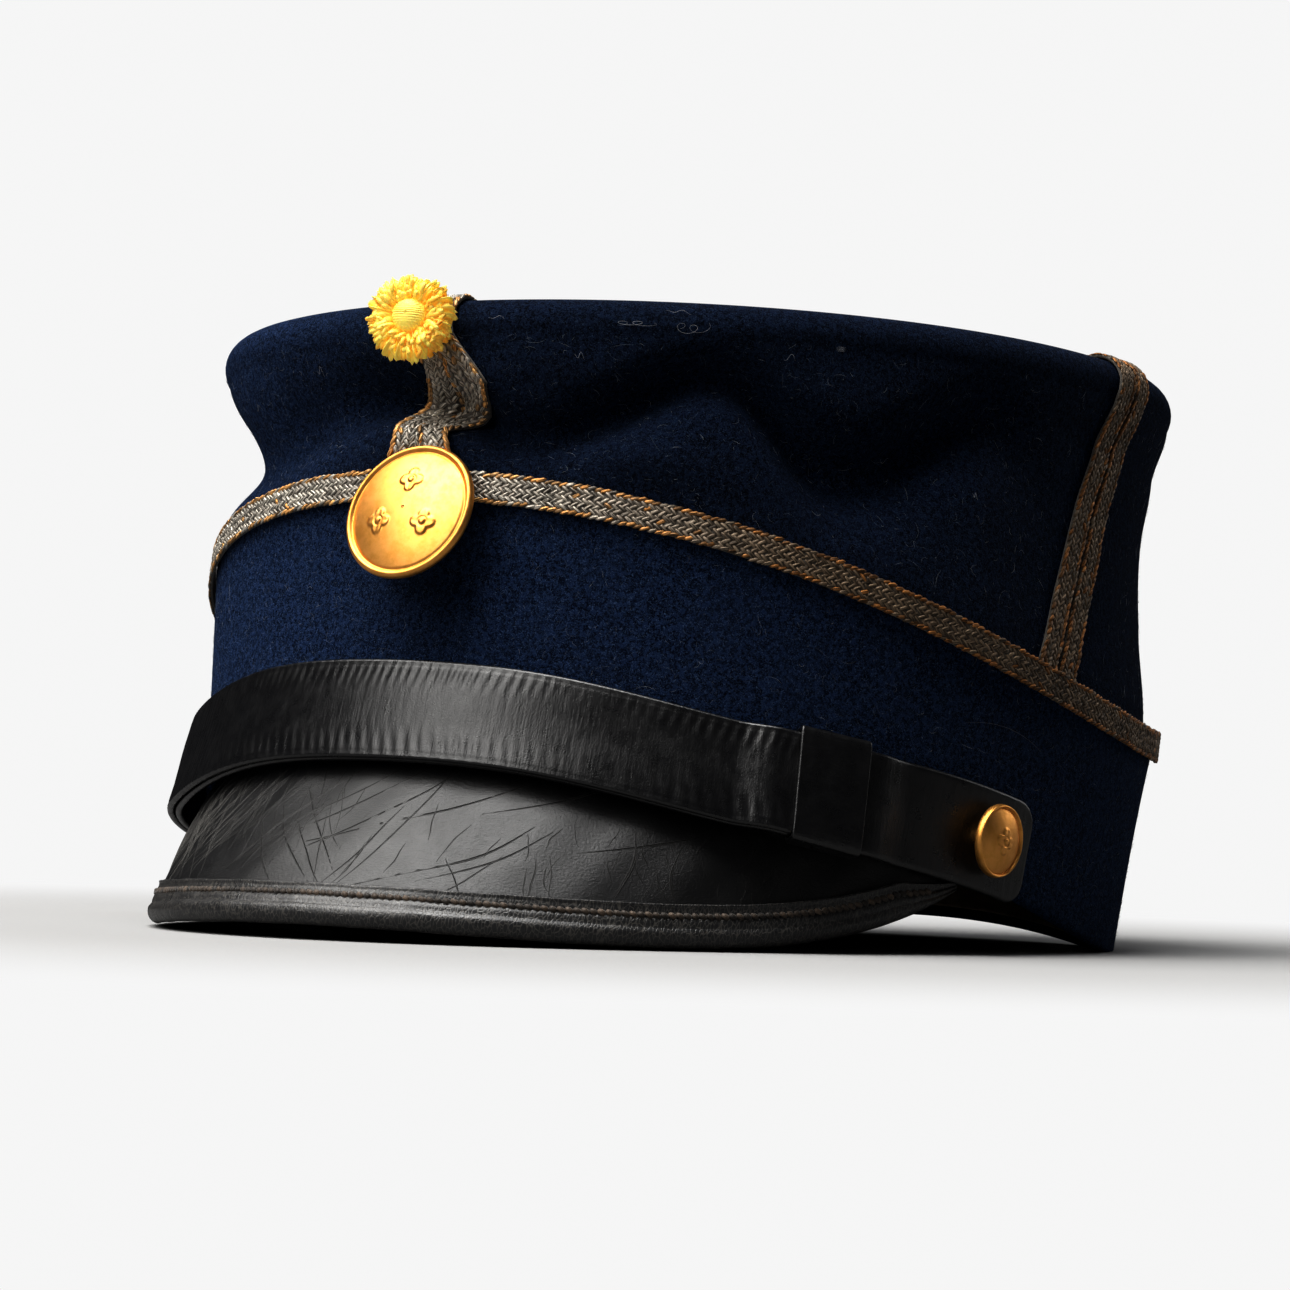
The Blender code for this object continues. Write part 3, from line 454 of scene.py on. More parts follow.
# Camera, light and floor
CAMERA_AZIMUTH = 34.7
CAMERA_PLACE = (0.67622, -0.97684, 0.03243)
CAMERA_TURN = (91.132, -1.791, 34.718)
CAMERA_LENS = 172.397
LIGHT_AIM = (0.0, 0.0, 0.06)
BACKDROP = (0.935, 0.935, 0.935, 1.0)
SURROUND_TONE = (0.03, 0.03, 0.032, 1.0)
FLOOR_TONE = (0.37, 0.37, 0.37)
FLOOR_RETURN = (0.15, 0.15, 0.15)
FLOOR_FADE = (0.13, 0.34)
VIEW_GAMMA = 0.80

# Lights. Columns: name, degrees round from the camera's side, elevation, distance, size, power,
# colour
WARM = (1.0, 0.985, 0.96)
WHITE = (1.0, 1.0, 1.0)
LIGHTS = (
    ("key", -74.0, 66.0, 1.5, (1.4, 1.3), 41.0, WARM),
    ("low", -52.0, 30.0, 1.5, (0.8, 0.8), 8.0, WARM),
    ("top", -18.0, 79.0, 1.5, (0.8, 0.8), 10.5, WHITE),
    ("back", 175.0, 40.0, 2.0, (1.4, 1.4), 8.0, WHITE),
    ("rim", 118.0, 22.0, 1.5, (0.5, 0.9), 3.5, WHITE),
)


def vector(x, y, z):
    """Points from three arrays that broadcast to one shape."""
    return np.stack(np.broadcast_arrays(x, y, z), -1).astype(float)


def unit(vectors):
    """Vectors brought to length one."""
    length = np.linalg.norm(vectors, axis=-1, keepdims=True)
    return vectors / np.maximum(length, 1e-12)


def ease(share):
    """Slow-in, slow-out step from 0 to 1: 3s^2 - 2s^3."""
    share = np.clip(share, 0.0, 1.0)
    return share * share * (3.0 - 2.0 * share)


def read_table(table, key):
    """Row values at each key, eased from row to row."""
    rows = np.array(table)
    after = np.clip(np.searchsorted(rows[:, 0], key), 1, len(rows) - 1)
    low, high = rows[after - 1], rows[after]
    blend = ease((key - low[..., 0]) / (high[..., 0] - low[..., 0]))
    return low[..., 1:] + (high - low)[..., 1:] * blend[..., None]


def smooth_table(table, key, blur):
    """Row values at each key, as a mean of the straight-line values over a short reach."""
    rows = np.array(table)
    reach = np.linspace(-1.0, 1.0, 9) * blur
    weights = np.cos(np.linspace(-1.0, 1.0, 9) * 1.4)
    places = np.asarray(key)[..., None] + reach
    columns = [np.interp(places, rows[:, 0], column) * weights for column in rows.T[1:]]
    return np.stack([column.sum(-1) for column in columns], -1) / weights.sum()


def wrap_angle(angle):
    """The same angle between -180 and 180 degrees."""
    return (angle + 180.0) % 360.0 - 180.0


def outward(angle):
    """Unit vector square to the band's oval in plan."""
    turn = np.radians(angle)
    return unit(vector(np.sin(turn) / BAND_HALF_WIDTH, -np.cos(turn) / BAND_HALF_DEPTH, 0.0))


def rim_height(angle):
    """The rim's height: less the square of the sine, more behind the ears than before them."""
    turn = np.radians(angle)
    return -np.sin(turn) ** 2 * (RIM_DIP - RIM_FORWARD * np.cos(turn))


def seam_height(angle):
    """The seam's height: the rim's, the band's, and a rise with the square of the cosine."""
    return rim_height(angle) + BAND_HEIGHT + BAND_RISE * np.cos(np.radians(angle)) ** 2


def top_height(angle):
    """The rolled edge's height, lower at the front and a little at the wearer's right."""
    turn = np.radians(angle)
    return BAND_HEIGHT + CROWN_HEIGHT - CROWN_SLOPE * np.cos(turn) + CROWN_SIDE_TILT * np.sin(turn)


def oval(angle, half_width, half_depth, shift_x=0.0, shift_y=0.0):
    """Points of an oval in plan."""
    turn = np.radians(angle)
    return vector(shift_x + half_width * np.sin(turn), shift_y - half_depth * np.cos(turn), 0.0)


def rim_tuck(angle):
    """How far the rim is drawn in, more at the front than at the back."""
    ahead = np.cos(np.radians(angle) / 2.0) ** 2
    return RIM_TUCK_BACK + (RIM_TUCK_FRONT - RIM_TUCK_BACK) * ahead


def band_point(angle, share, out=0.0):
    """The band's outer face from the rim (0) to the seam (1): the oval, drawn in at the rim."""
    angle, share, out = np.broadcast_arrays(angle, share, out)
    behind = np.sin(np.radians(angle) / 2.0) ** 2
    lean = behind * SEAM_SWELL * share ** 3 - rim_tuck(angle) * (1.0 - share)
    points = oval(angle, BAND_HALF_WIDTH, BAND_HALF_DEPTH)
    points = points + outward(angle) * (lean + out)[..., None]
    points[..., 2] = rim_height(angle) + share * (seam_height(angle) - rim_height(angle))
    return points


def roll_point(angle, share, out=0.0):
    """The rolled edge: part of a circle, from the wall's top (0) over to its inner lip (1)."""
    angle, share, out = np.broadcast_arrays(angle, share, out)
    turn = np.radians(ROLL_TURN * share - ROLL_LEAD * (1.0 - share))
    reach = (ROLL_RADIUS + out) * np.cos(turn) - ROLL_RADIUS
    points = oval(
        angle, CROWN_HALF_WIDTH, CROWN_HALF_DEPTH, -CROWN_SHIFT_RIGHT, -CROWN_SHIFT_FORWARD
    )
    points = points + outward(angle) * reach[..., None]
    points[..., 2] = top_height(angle) - ROLL_RADIUS + (ROLL_RADIUS + out) * np.sin(turn)
    return points


def dents(angle, share):
    """Sum of soft dents: each falls off with the square of the distance, as a bell does."""
    total = np.zeros(np.shape(angle))
    for middle, height, width, rise, turn, depth in DENT_TABLE:
        across = wrap_angle(angle - middle) / width
        up = (share - height) / rise
        c, s = math.cos(math.radians(turn)), math.sin(math.radians(turn))
        total += depth * np.exp(-((c * across + s * up) ** 2) - (c * up - s * across) ** 2)
    return total * np.sin(math.pi * np.clip(share, 0.0, 1.0)) ** 0.5


def crown_point(angle, share, out=0.0, dented=0.0):
    """The crown's wall: the chord from seam to roll, less the waist, less the fold.

    The fold is a groove along the crease, a bell in section, wider below than above. It is gone
    at the seam and at the roll. The dents are added in full where dented is 1.
    """
    angle, share, out = np.broadcast_arrays(angle, share, out)
    table = smooth_table(CREASE_TABLE, wrap_angle(angle), CREASE_BLUR)
    crease, depth, lower, upper = np.moveaxis(table, -1, 0)
    foot = band_point(angle, 1.0)
    chord = foot + (roll_point(angle, 0.0) - foot) * share[..., None]
    unfolded = 1.0 - np.minimum(depth / FOLD_TO_WAIST, 1.0)
    waist = read_table(WAIST_TABLE, share)[..., 0] * WAIST_DEPTH * unfolded
    bell = np.exp(-(((share - crease) / np.where(share < crease, lower, upper)) ** 2))
    fold = depth * bell * ease((1.0 - share) / 0.05) * ease(share / 0.10)
    reach = out - waist - fold - dented * dents(angle, share)
    return chord + outward(angle) * reach[..., None]


def place(points):
    """Lean points of the cap's frame back and set them on the floor."""
    lean = math.radians(CAP_LEAN)
    c, s = math.cos(lean), math.sin(lean)
    x, y, z = np.moveaxis(points, -1, 0)
    return vector(x + CAP_PLACE[0], c * y - s * z + CAP_PLACE[1], s * y + c * z + CAP_PLACE[2])


def turned_axes(axes):
    """Directions leaned back as place() leans points: placed, less the frame's placed origin."""
    return place(axes) - place(np.zeros(3))


def grid_cells(rows, columns, ring_rows, ring_columns):
    """Row and column number of each cell of a grid of points."""
    down = np.arange(rows if ring_rows else rows - 1)
    right = np.arange(columns if ring_columns else columns - 1)
    return np.meshgrid(down, right, indexing="ij")


def grid_faces(rows, columns, ring_rows=False, ring_columns=False):
    """Quads between the points of a grid, closed over its ends where it is a ring."""
    i, j = grid_cells(rows, columns, ring_rows, ring_columns)
    down, right = (i + 1) % rows, (j + 1) % columns
    corners = (i * columns + j, i * columns + right, down * columns + right, down * columns + j)
    return np.stack(corners, -1).reshape(-1, 4)


def end_fans(first, last, pole):
    """Triangles that close a surface: its first row of points to a pole, its last to the next."""
    start = np.stack([np.roll(first, -1), first, np.full(len(first), pole)], -1)
    end = np.stack([last, np.roll(last, -1), np.full(len(last), pole + 1)], -1)
    return np.concatenate([start, end])


def turned_faces(rows, columns):
    """Faces of a profile turned once round an axis, with a pole at each end of the profile."""
    first = np.arange(rows) * columns
    fans = end_fans(first, first + columns - 1, rows * columns)
    return [grid_faces(rows, columns, True, False), fans]


def volume(points, faces):
    """Volume inside a mesh, below zero where its faces point inwards."""
    a, b, c = points[faces[:, 0]], points[faces[:, 1]], points[faces[:, 2]]
    total = np.einsum("ij,ij->i", a, np.cross(b, c)).sum()
    if faces.shape[1] == 4:
        d = points[faces[:, 3]]
        total += np.einsum("ij,ij->i", a, np.cross(c, d)).sum()
    return total


def make_piece(name, points, groups, finish, stands_for=(), uv=None, tint=None):
    """A piece of the cap from world points and groups of faces with equal corner counts.

    uv holds one pair for each face corner, tint one colour for each point.
    """
    points = np.ascontiguousarray(points.reshape(-1, 3), dtype=np.float32)
    if sum(volume(points.astype(float), faces) for faces in groups) < 0.0:
        groups = [faces[:, ::-1] for faces in groups]
        if uv is not None:
            uv = [pairs[:, ::-1] for pairs in uv]
    counts = np.concatenate([np.full(len(faces), faces.shape[1]) for faces in groups])
    corners = np.concatenate([faces.ravel() for faces in groups])
    mesh = bpy.data.meshes.new(name)
    mesh.vertices.add(len(points))
    mesh.vertices.foreach_set("co", points.ravel())
    mesh.loops.add(len(corners))
    mesh.loops.foreach_set("vertex_index", corners.astype(np.int32))
    mesh.polygons.add(len(counts))
    mesh.polygons.foreach_set("loop_start", (np.cumsum(counts) - counts).astype(np.int32))
    mesh.polygons.foreach_set("use_smooth", np.ones(len(counts), dtype=bool))
    mesh.update(calc_edges=True)
    if uv is not None:
        pairs = np.concatenate([part.reshape(-1, 2) for part in uv])
        mesh.uv_layers.new(name="run").data.foreach_set("uv", pairs.astype(np.float32).ravel())
    if tint is not None:
        colours = np.concatenate([tint.reshape(-1, 3), np.ones((len(points), 1))], 1)
        layer = mesh.color_attributes.new("tint", "FLOAT_COLOR", "POINT")
        layer.data.foreach_set("color", colours.astype(np.float32).ravel())
    mesh.materials.append(finish)
    piece = bpy.data.objects.new(name, mesh)
    bpy.context.scene.collection.objects.link(piece)
    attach(piece, "root")
    if stands_for:
        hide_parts(*stands_for)
    return piece


def corner_uv(run, girth, rows, columns, ring_rows, ring_columns):
    """Lengths along (run) and round (girth) a grid, for each corner of grid_faces."""
    i, j = grid_cells(rows, columns, ring_rows, ring_columns)
    u = [run[i], run[i], run[i + 1], run[i + 1]]
    v = [girth[j], girth[j + 1], girth[j + 1], girth[j]]
    return np.stack([np.stack(u, -1), np.stack(v, -1)], -1).reshape(-1, 4, 2)


def steps_along(points, ring):
    """Length along a row of points from its start, with the closing step of a ring."""
    chain = np.concatenate([points, points[:1]]) if ring else points
    return np.concatenate([[0.0], np.cumsum(np.linalg.norm(np.diff(chain, axis=0), axis=1))])


def read_line(points, length, where):
    """Points of a line at given lengths from its start."""
    return np.stack([np.interp(where, length, points[:, axis]) for axis in range(3)], -1)


def carry(name, sections, finish, stands_for=(), ring=True, tint=None):
    """A closed profile carried along a path: a ring, or a run with a cap fan at each end.

    sections has one closed profile for each station, in the cap's frame.
    """
    rows, columns = sections.shape[:2]
    points = place(sections)
    run = steps_along(points.mean(1), ring)
    girth = steps_along(points[rows // 2], True)
    faces = grid_faces(rows, columns, ring, True)
    uv = corner_uv(run, girth, rows, columns, ring, True)
    if ring:
        return make_piece(name, points, [faces], finish, stands_for, [uv], tint)
    flat = points.reshape(-1, 3)
    ends = np.stack([points[0].mean(0), points[-1].mean(0)])
    first = np.arange(columns)
    fans = end_fans(first, (rows - 1) * columns + first, len(flat))
    fan = np.zeros((2 * columns, 3, 2))
    fan[:columns, :, 0] = run[0]
    fan[columns:, :, 0] = run[-1]
    fan[:, 0, 1] = np.tile(girth[:-1], 2)
    fan[:, 1, 1] = np.tile(girth[1:], 2)
    fan[:, 2, 1] = girth[-1] / 2.0
    if tint is not None:
        tint = np.concatenate([tint.reshape(-1, 3), tint[0].mean(0)[None], tint[-1].mean(0)[None]])
    points = np.concatenate([flat, ends])
    return make_piece(name, points, [faces, fans], finish, stands_for, [uv, fan], tint)


def rounded(thick, width, steps):
    """A flat section's outline with round edges, as (across 0..1, out 0..1) pairs.

    It runs over the face, round one edge by half a turn, back along the back and round the other.
    """
    reach = thick / width / 2.0
    over = np.linspace(reach, 1.0 - reach, steps)
    turn = np.linspace(0.0, math.pi, 7)[1:-1]
    right = np.stack([1.0 - reach + reach * np.sin(turn), 0.5 + 0.5 * np.cos(turn)], -1)
    left = np.stack([reach - reach * np.sin(turn), 0.5 - 0.5 * np.cos(turn)], -1)
    face = np.stack([over, np.ones(steps)], -1)
    back = np.stack([over[::-2], np.zeros(len(over[::-2]))], -1)
    return np.concatenate([face, right, back, left])


class Finish:
    """A Principled material with short calls for the nodes of its pattern."""

    def __init__(self, name, colour, roughness, **sockets):
        """The shader, with the values that are the same all over set on its own sockets."""
        self.material = bpy.data.materials.new(name)
        self.material.use_nodes = True
        self.tree = self.material.node_tree
        self.shader = self.tree.nodes["Principled BSDF"]
        self.shader.inputs["Base Color"].default_value = (*colour, 1.0)
        self.shader.inputs["Roughness"].default_value = roughness
        for socket, value in sockets.items():
            self.shader.inputs[socket.replace("_", " ")].default_value = value

    def node(self, kind, settings=(), **links):
        """A node with settings, its inputs taken from values or from other nodes' outputs."""
        made = self.tree.nodes.new("ShaderNode" + kind)
        for key, value in dict(settings).items():
            setattr(made, key, value)
        for key, value in links.items():
            socket = made.inputs[int(key[1:]) if key[1:].isdigit() else key.replace("_", " ")]
            if isinstance(value, bpy.types.NodeSocket):
                self.tree.links.new(value, socket)
            else:
                socket.default_value = value
        return made

    def spread(self, scale=(1.0, 1.0, 1.0), source="Object", turn=0.0):
        """Texture coordinates, scaled for each axis and turned about Z."""
        where = self.node("TexCoord").outputs[source]
        turned = (0.0, 0.0, math.radians(turn))
        return self.node("Mapping", Vector=where, Scale=scale, Rotation=turned).outputs["Vector"]

    def tint(self):
        """The piece's own colour at each point."""
        return self.node("VertexColor", {"layer_name": "tint"}).outputs["Color"]

    def part(self, colour, number):
        """Red (0), green (1) or blue (2) of a colour."""
        return self.node("SeparateColor", Color=colour).outputs[number]

    def noise(self, where, scale=1.0, detail=2.0, roughness=0.5, distortion=0.0):
        """Noise value over a place."""
        node = self.node(
            "TexNoise", Vector=where, Scale=scale, Detail=detail, Roughness=roughness,
            Distortion=distortion,
        )
        return node.outputs[0]

    def cells(self, where, scale=1.0, feature="DISTANCE_TO_EDGE"):
        """Voronoi distance over a place."""
        node = self.node("TexVoronoi", {"feature": feature}, Vector=where, Scale=scale)
        return node.outputs["Distance"]

    def fit(self, value, low, high, to_low=0.0, to_high=1.0):
        """A value's range carried to another, clamped, with eased ends."""
        node = self.node(
            "MapRange", {"interpolation_type": "SMOOTHSTEP"}, Value=value,
            From_Min=low, From_Max=high, To_Min=to_low, To_Max=to_high,
        )
        return node.outputs["Result"]

    def sum(self, first, second, how="ADD"):
        """Two values put together by a sum, a product or the like."""
        return self.node("Math", {"operation": how}, _0=first, _1=second).outputs[0]

    def blend(self, share, first, second, how="MIX"):
        """Two colours blended by a share."""
        first, second = (
            value if isinstance(value, bpy.types.NodeSocket) else (*value, 1.0)
            for value in (first, second)
        )
        settings = {"data_type": "RGBA", "blend_type": how}
        return self.node("Mix", settings, _0=share, _6=first, _7=second).outputs[2]

    def give(self, *bumps, **links):
        """Lay bumps one over another and link outputs to the shader's sockets.

        Each bump is a height, its metres for a height of one, and a strength.
        """
        for height, distance, strength in bumps:
            node = self.node("Bump", Height=height, Distance=distance, Strength=strength)
            if "Normal" in links:
                self.tree.links.new(links["Normal"], node.inputs["Normal"])
            links["Normal"] = node.outputs["Normal"]
        for key, value in links.items():
            self.tree.links.new(value, self.shader.inputs[key.replace("_", " ")])
        return self.material


def felted_cloth(name, tone, painted_shade_level=1.0):
    """Navy wool with its nap felted over: mottled, speckled with paler fibres, dull.

    A last argument below one darkens the wearer's left (+X) to that share: painted shade.
    """
    sheen = {"Sheen_Weight": 0.03, "Sheen_Roughness": 0.4, "Sheen_Tint": (0.25, 0.45, 1.0, 1.0)}
    made = Finish(name, (0.010, 0.021, 0.055), 0.95, Specular_IOR_Level=0.06, **sheen)
    where = made.spread()
    fine = made.noise(where, 3000.0, 3.0, 0.7)
    nap = made.noise(where, 1100.0, 3.0, 0.6, 0.4)
    mottle = made.noise(where, 110.0, 3.0, 0.6)
    grain = made.sum(made.fit(fine, 0.42, 0.60), made.fit(nap, 0.40, 0.62))
    low, high, pale = (
        tuple(tone * part for part in colour)
        for colour in ((0.0003, 0.0022, 0.011), (0.023, 0.050, 0.134), (0.017, 0.037, 0.094))
    )
    deep = made.blend(made.fit(grain, 0.3, 1.6), low, high)
    worn = made.blend(made.fit(mottle, 0.35, 0.7, 0.0, 0.25), deep, pale)
    speck = made.fit(made.noise(where, 2400.0, 1.0, 0.5, 2.6), 0.60, 0.70, 0.0, 0.9)
    colour = made.blend(speck, worn, (0.10 * tone, 0.17 * tone, 0.33 * tone))
    # Painted shade: darker towards the wearer's left, away from the key light.
    if painted_shade_level < 1.0:
        side = made.node("SeparateXYZ", Vector=where).outputs["X"]
        colour = made.blend(1.0, colour, made.fit(side, -0.055, 0.010, 1.0, painted_shade_level), "MULTIPLY")
    return made.give((grain, 0.00026, 0.9), Base_Color=colour)


def plaited_thread():
    """Tarnished metal thread: each strand's tone is in its tint, with fine threads along it.

    Towards the wearer's left (+X) it darkens and browns: painted shade, partly a browner tone.
    """
    made = Finish(
        "plaited_thread", (0.13, 0.11, 0.085), 0.42, Metallic=0.45, Specular_IOR_Level=0.45
    )
    where = made.spread()
    threads = made.noise(made.spread((300.0, 9000.0, 1.0), "UV"), 1.0, 1.0, 0.5)
    dust = made.noise(where, 1500.0, 3.0, 0.6)
    dark = made.blend(made.fit(threads, 0.35, 0.6), (0.25, 0.25, 0.25), (1.25, 1.25, 1.25))
    side = made.node("SeparateXYZ", Vector=where).outputs["X"]
    colour = made.blend(1.0, made.tint(), dark, "MULTIPLY")
    # Painted shade, with some brown: the colour darkens and browns towards the wearer's left.
    painted_shade_and_brown = made.blend(made.fit(side, 0.012, 0.070), (1.0, 1.0, 1.0), (0.42, 0.33, 0.25))
    colour = made.blend(1.0, colour, painted_shade_and_brown, "MULTIPLY")
    dull = made.fit(dust, 0.35, 0.7, 0.42, 0.70)
    return made.give((threads, 0.00012, 0.9), Base_Color=colour, Roughness=dull)


def patent_leather():
    """The peak's patent skin: black, satin from age, finely grained, a little dusty."""
    made = Finish("patent_leather", (0.004, 0.004, 0.0044), 0.36, Specular_IOR_Level=0.6)
    where = made.spread()
    bend = made.noise(where, 48.0, 2.0, 0.5)
    pores = made.noise(where, 1900.0, 3.0, 0.65)
    brushed = made.noise(made.spread((700.0, 4200.0, 1.0), "UV", 84.0), 1.0, 2.0, 0.6)
    bumps = ((bend, 0.0010, 0.05), (brushed, 0.00006, 0.8), (pores, 0.00008, 0.9))
    dust = made.noise(where, 210.0, 4.0, 0.65)
    dull = made.fit(dust, 0.3, 0.75, 0.40, 0.48)
    dusty = made.fit(dust, 0.45, 0.8, 0.0, 0.4)
    colour = made.blend(dusty, (0.0035, 0.0035, 0.004), (0.010, 0.0095, 0.009))
    return made.give(*bumps, Base_Color=colour, Roughness=dull)


def cracked_leather():
    """The peak's cracks: glossy lips, and a dull cut in painted shade where the tint has no red.

    Its green tells how pale the lips are painted: a painted highlight of light caught on them.
    """
    made = Finish("cracked_leather", (0.004, 0.004, 0.0044), 0.30, Specular_IOR_Level=0.5)
    tint = made.tint()
    lip, pale = made.part(tint, 0), made.part(tint, 1)
    dull = made.fit(lip, 0.2, 0.8, 0.95, 0.34)
    edge = made.blend(pale, (0.022, 0.021, 0.020), (0.15, 0.145, 0.135))
    colour = made.blend(lip, (0.0004, 0.0004, 0.0004), edge)
    return made.give(Base_Color=colour, Roughness=dull)


def strap_leather():
    """The strap's coated leather: half gloss, finely wrinkled across its length."""
    made = Finish("strap_leather", (0.004, 0.004, 0.0045), 0.32, Specular_IOR_Level=0.82)
    where = made.spread()
    across = made.noise(made.spread((3200.0, 420.0, 1.0), "UV"), 1.0, 3.0, 0.65, 0.1)
    lines = made.noise(made.spread((620.0, 80.0, 1.0), "UV"), 1.0, 2.0, 0.6)
    pores = made.noise(where, 3000.0, 2.0, 0.6)
    bumps = ((lines, 0.00016, 0.6), (across, 0.00006, 0.6), (pores, 0.00005, 0.8))
    dust = made.noise(where, 260.0, 4.0, 0.7)
    dull = made.fit(dust, 0.3, 0.75, 0.26, 0.38)
    rubbed = made.fit(across, 0.55, 0.8, 0.0, 0.5)
    colour = made.blend(rubbed, (0.0035, 0.0035, 0.0042), (0.012, 0.012, 0.0125))
    return made.give(*bumps, Base_Color=colour, Roughness=dull)


def binding_leather():
    """The binding's leather: black, crackled square to the edge."""
    made = Finish("binding_leather", (0.005, 0.005, 0.0055), 0.3, Specular_IOR_Level=0.6)
    where = made.spread()
    cells = made.cells(made.spread((1500.0, 700.0, 1.0), "UV"), 1.0)
    crackle = made.fit(cells, 0.0, 0.12, 1.0, 0.0)
    pores = made.noise(where, 2600.0, 3.0, 0.6)
    bumps = ((pores, 0.00006, 0.6), (crackle, -0.00005, 0.5))
    dull = made.fit(made.noise(where, 300.0, 4.0, 0.7), 0.3, 0.75, 0.25, 0.42)
    rubbed = made.fit(crackle, 0.2, 0.9, 0.0, 0.5)
    colour = made.blend(rubbed, (0.027, 0.027, 0.028), (0.15, 0.14, 0.125))
    return made.give(*bumps, Base_Color=colour, Roughness=dull)


def plain_leather():
    """The sweatband's tan leather, with pores and dark stains."""
    made = Finish("plain_leather", (0.40, 0.29, 0.18), 0.6)
    where = made.spread()
    stain = made.noise(where, 42.0, 4.0, 0.6)
    pores = made.cells(where, 1400.0, "F1")
    colour = made.blend(made.fit(stain, 0.35, 0.7), (0.44, 0.33, 0.22), (0.24, 0.15, 0.085))
    return made.give((pores, 0.00012, 0.6), Base_Color=colour)


def gilt():
    """Gilt brass: satin, its recesses browned. The tint tells how deep a point lies."""
    made = Finish("gilt", (0.98, 0.63, 0.20), 0.34, Metallic=1.0)
    where = made.spread()
    shade = made.part(made.tint(), 0)
    stain = made.noise(where, 420.0, 4.0, 0.65)
    brushed = made.noise(where, 3600.0, 3.0, 0.6)
    worn = made.blend(made.fit(stain, 0.38, 0.66, 0.0, 0.9), (0.98, 0.50, 0.14), (0.86, 0.41, 0.09))
    dirt = made.sum(made.fit(shade, 0.2, 1.0), made.fit(stain, 0.3, 0.7, 0.2, 0.6), "MULTIPLY")
    colour = made.blend(dirt, worn, (0.34, 0.16, 0.035))
    dull = made.fit(brushed, 0.3, 0.7, 0.36, 0.50)
    return made.give((brushed, 0.00003, 0.5), Base_Color=colour, Roughness=dull)


def silk_thread():
    """Yellow silk, tinted orange at random and as painted shade; its faint glow is painted light.
    """
    made = Finish(
        "silk_thread",
        (1.0, 0.70, 0.10),
        0.5,
        Sheen_Weight=0.6,
        Sheen_Roughness=0.4,
        Sheen_Tint=(1.0, 0.78, 0.3, 1.0),
        Specular_IOR_Level=0.6,
        Subsurface_Weight=0.35,
        Subsurface_Radius=(0.0020, 0.0014, 0.0004),
        # Painted light: the silk glows faintly in its own colour.
        Emission_Strength=0.17,
    )
    threads = made.noise(made.spread((900.0, 9000.0, 1.0), "UV"), 1.0, 2.0, 0.5)
    dark = made.blend(made.fit(threads, 0.3, 0.65), (0.97, 0.86, 0.7), (1.1, 1.1, 1.1))
    colour = made.blend(1.0, made.tint(), dark, "MULTIPLY")
    return made.give((threads, 0.00010, 0.8), Base_Color=colour, Emission_Color=colour)


def tinted(name, roughness):
    """A plain finish for stitches and fibres, whose tone is in their tint."""
    made = Finish(name, (0.3, 0.3, 0.3), roughness, Sheen_Weight=0.2)
    uneven = made.noise(made.spread(), 2400.0, 2.0, 0.6)
    dark = made.blend(made.fit(uneven, 0.3, 0.7), (0.55, 0.55, 0.55), (1.2, 1.2, 1.2))
    return made.give(Base_Color=made.blend(1.0, made.tint(), dark, "MULTIPLY"))


def closed_wall(outer, inner):
    """Sections of a wall: up its outer face and down its inner one."""
    return np.concatenate([outer, inner[:, ::-1]], 1)


def build_band(cloth):
    """The band: its outer face, a rolled rim, its inner face; pressed flat on the floor."""
    angle = RING[:, None]
    outer = band_point(angle, np.linspace(1.0, ROLLED_RIM, 20)[None, :])
    turn = np.radians(np.linspace(0.0, 180.0, 9))[None, :]
    half = BAND_WALL / 2.0
    rim = band_point(angle, ROLLED_RIM, half * (np.cos(turn) - 1.0))
    rim[..., 2] -= half * np.sin(turn)
    inner = band_point(angle, np.linspace(ROLLED_RIM, 1.0, 10)[None, :], -BAND_WALL)
    sections = np.concatenate([outer, rim[:, 1:-1], inner], 1)
    sections[:, 0, 2] -= CLEARANCE / 2.0
    sections[:, -1, 2] -= CLEARANCE / 2.0
    piece = carry("band_cloth", sections, cloth, ("band",))
    points = np.empty(len(piece.data.vertices) * 3, np.float32)
    piece.data.vertices.foreach_get("co", points)
    points = points.reshape(-1, 3)
    points[:, 2] = np.maximum(points[:, 2], 0.0)
    piece.data.vertices.foreach_set("co", points.ravel())
    piece.data.update()


def build_crown(cloth):
    """The crown's wall, its fold, its rolled edge, and the same again inside."""
    angle = RING[:, None]
    share = np.linspace(0.0, 1.0, 84)[None, :]
    over = np.linspace(0.0, 1.0, 15)[None, 1:]
    faces = []
    for out in (0.0, -CROWN_WALL):
        wall = crown_point(angle, share, out, 1.0)
        wall[:, 0, 2] += CLEARANCE / 2.0
        faces.append(np.concatenate([wall, roll_point(angle, over, out)], 1))
    sections = closed_wall(faces[0], np.concatenate([faces[1][:, :-1:6], faces[1][:, -1:]], 1))
    nodes = ("crown_front_left", "crown_front_right", "crown_back_left", "crown_back_right")
    piece = carry("crown_cloth", sections, cloth, nodes)


def top_disc_point(angle, share, level):
    """The flat top: straight from the middle (0) to the lip (1)."""
    lips = roll_point(np.array([0.0, 90.0, 180.0, 270.0]), 1.0)
    centre = lips.mean(0)
    lip = roll_point(angle, 1.0) - outward(angle) * 2.0 * CLEARANCE
    return centre + (lip - centre) * np.asarray(share)[..., None] + vector(0.0, 0.0, level)


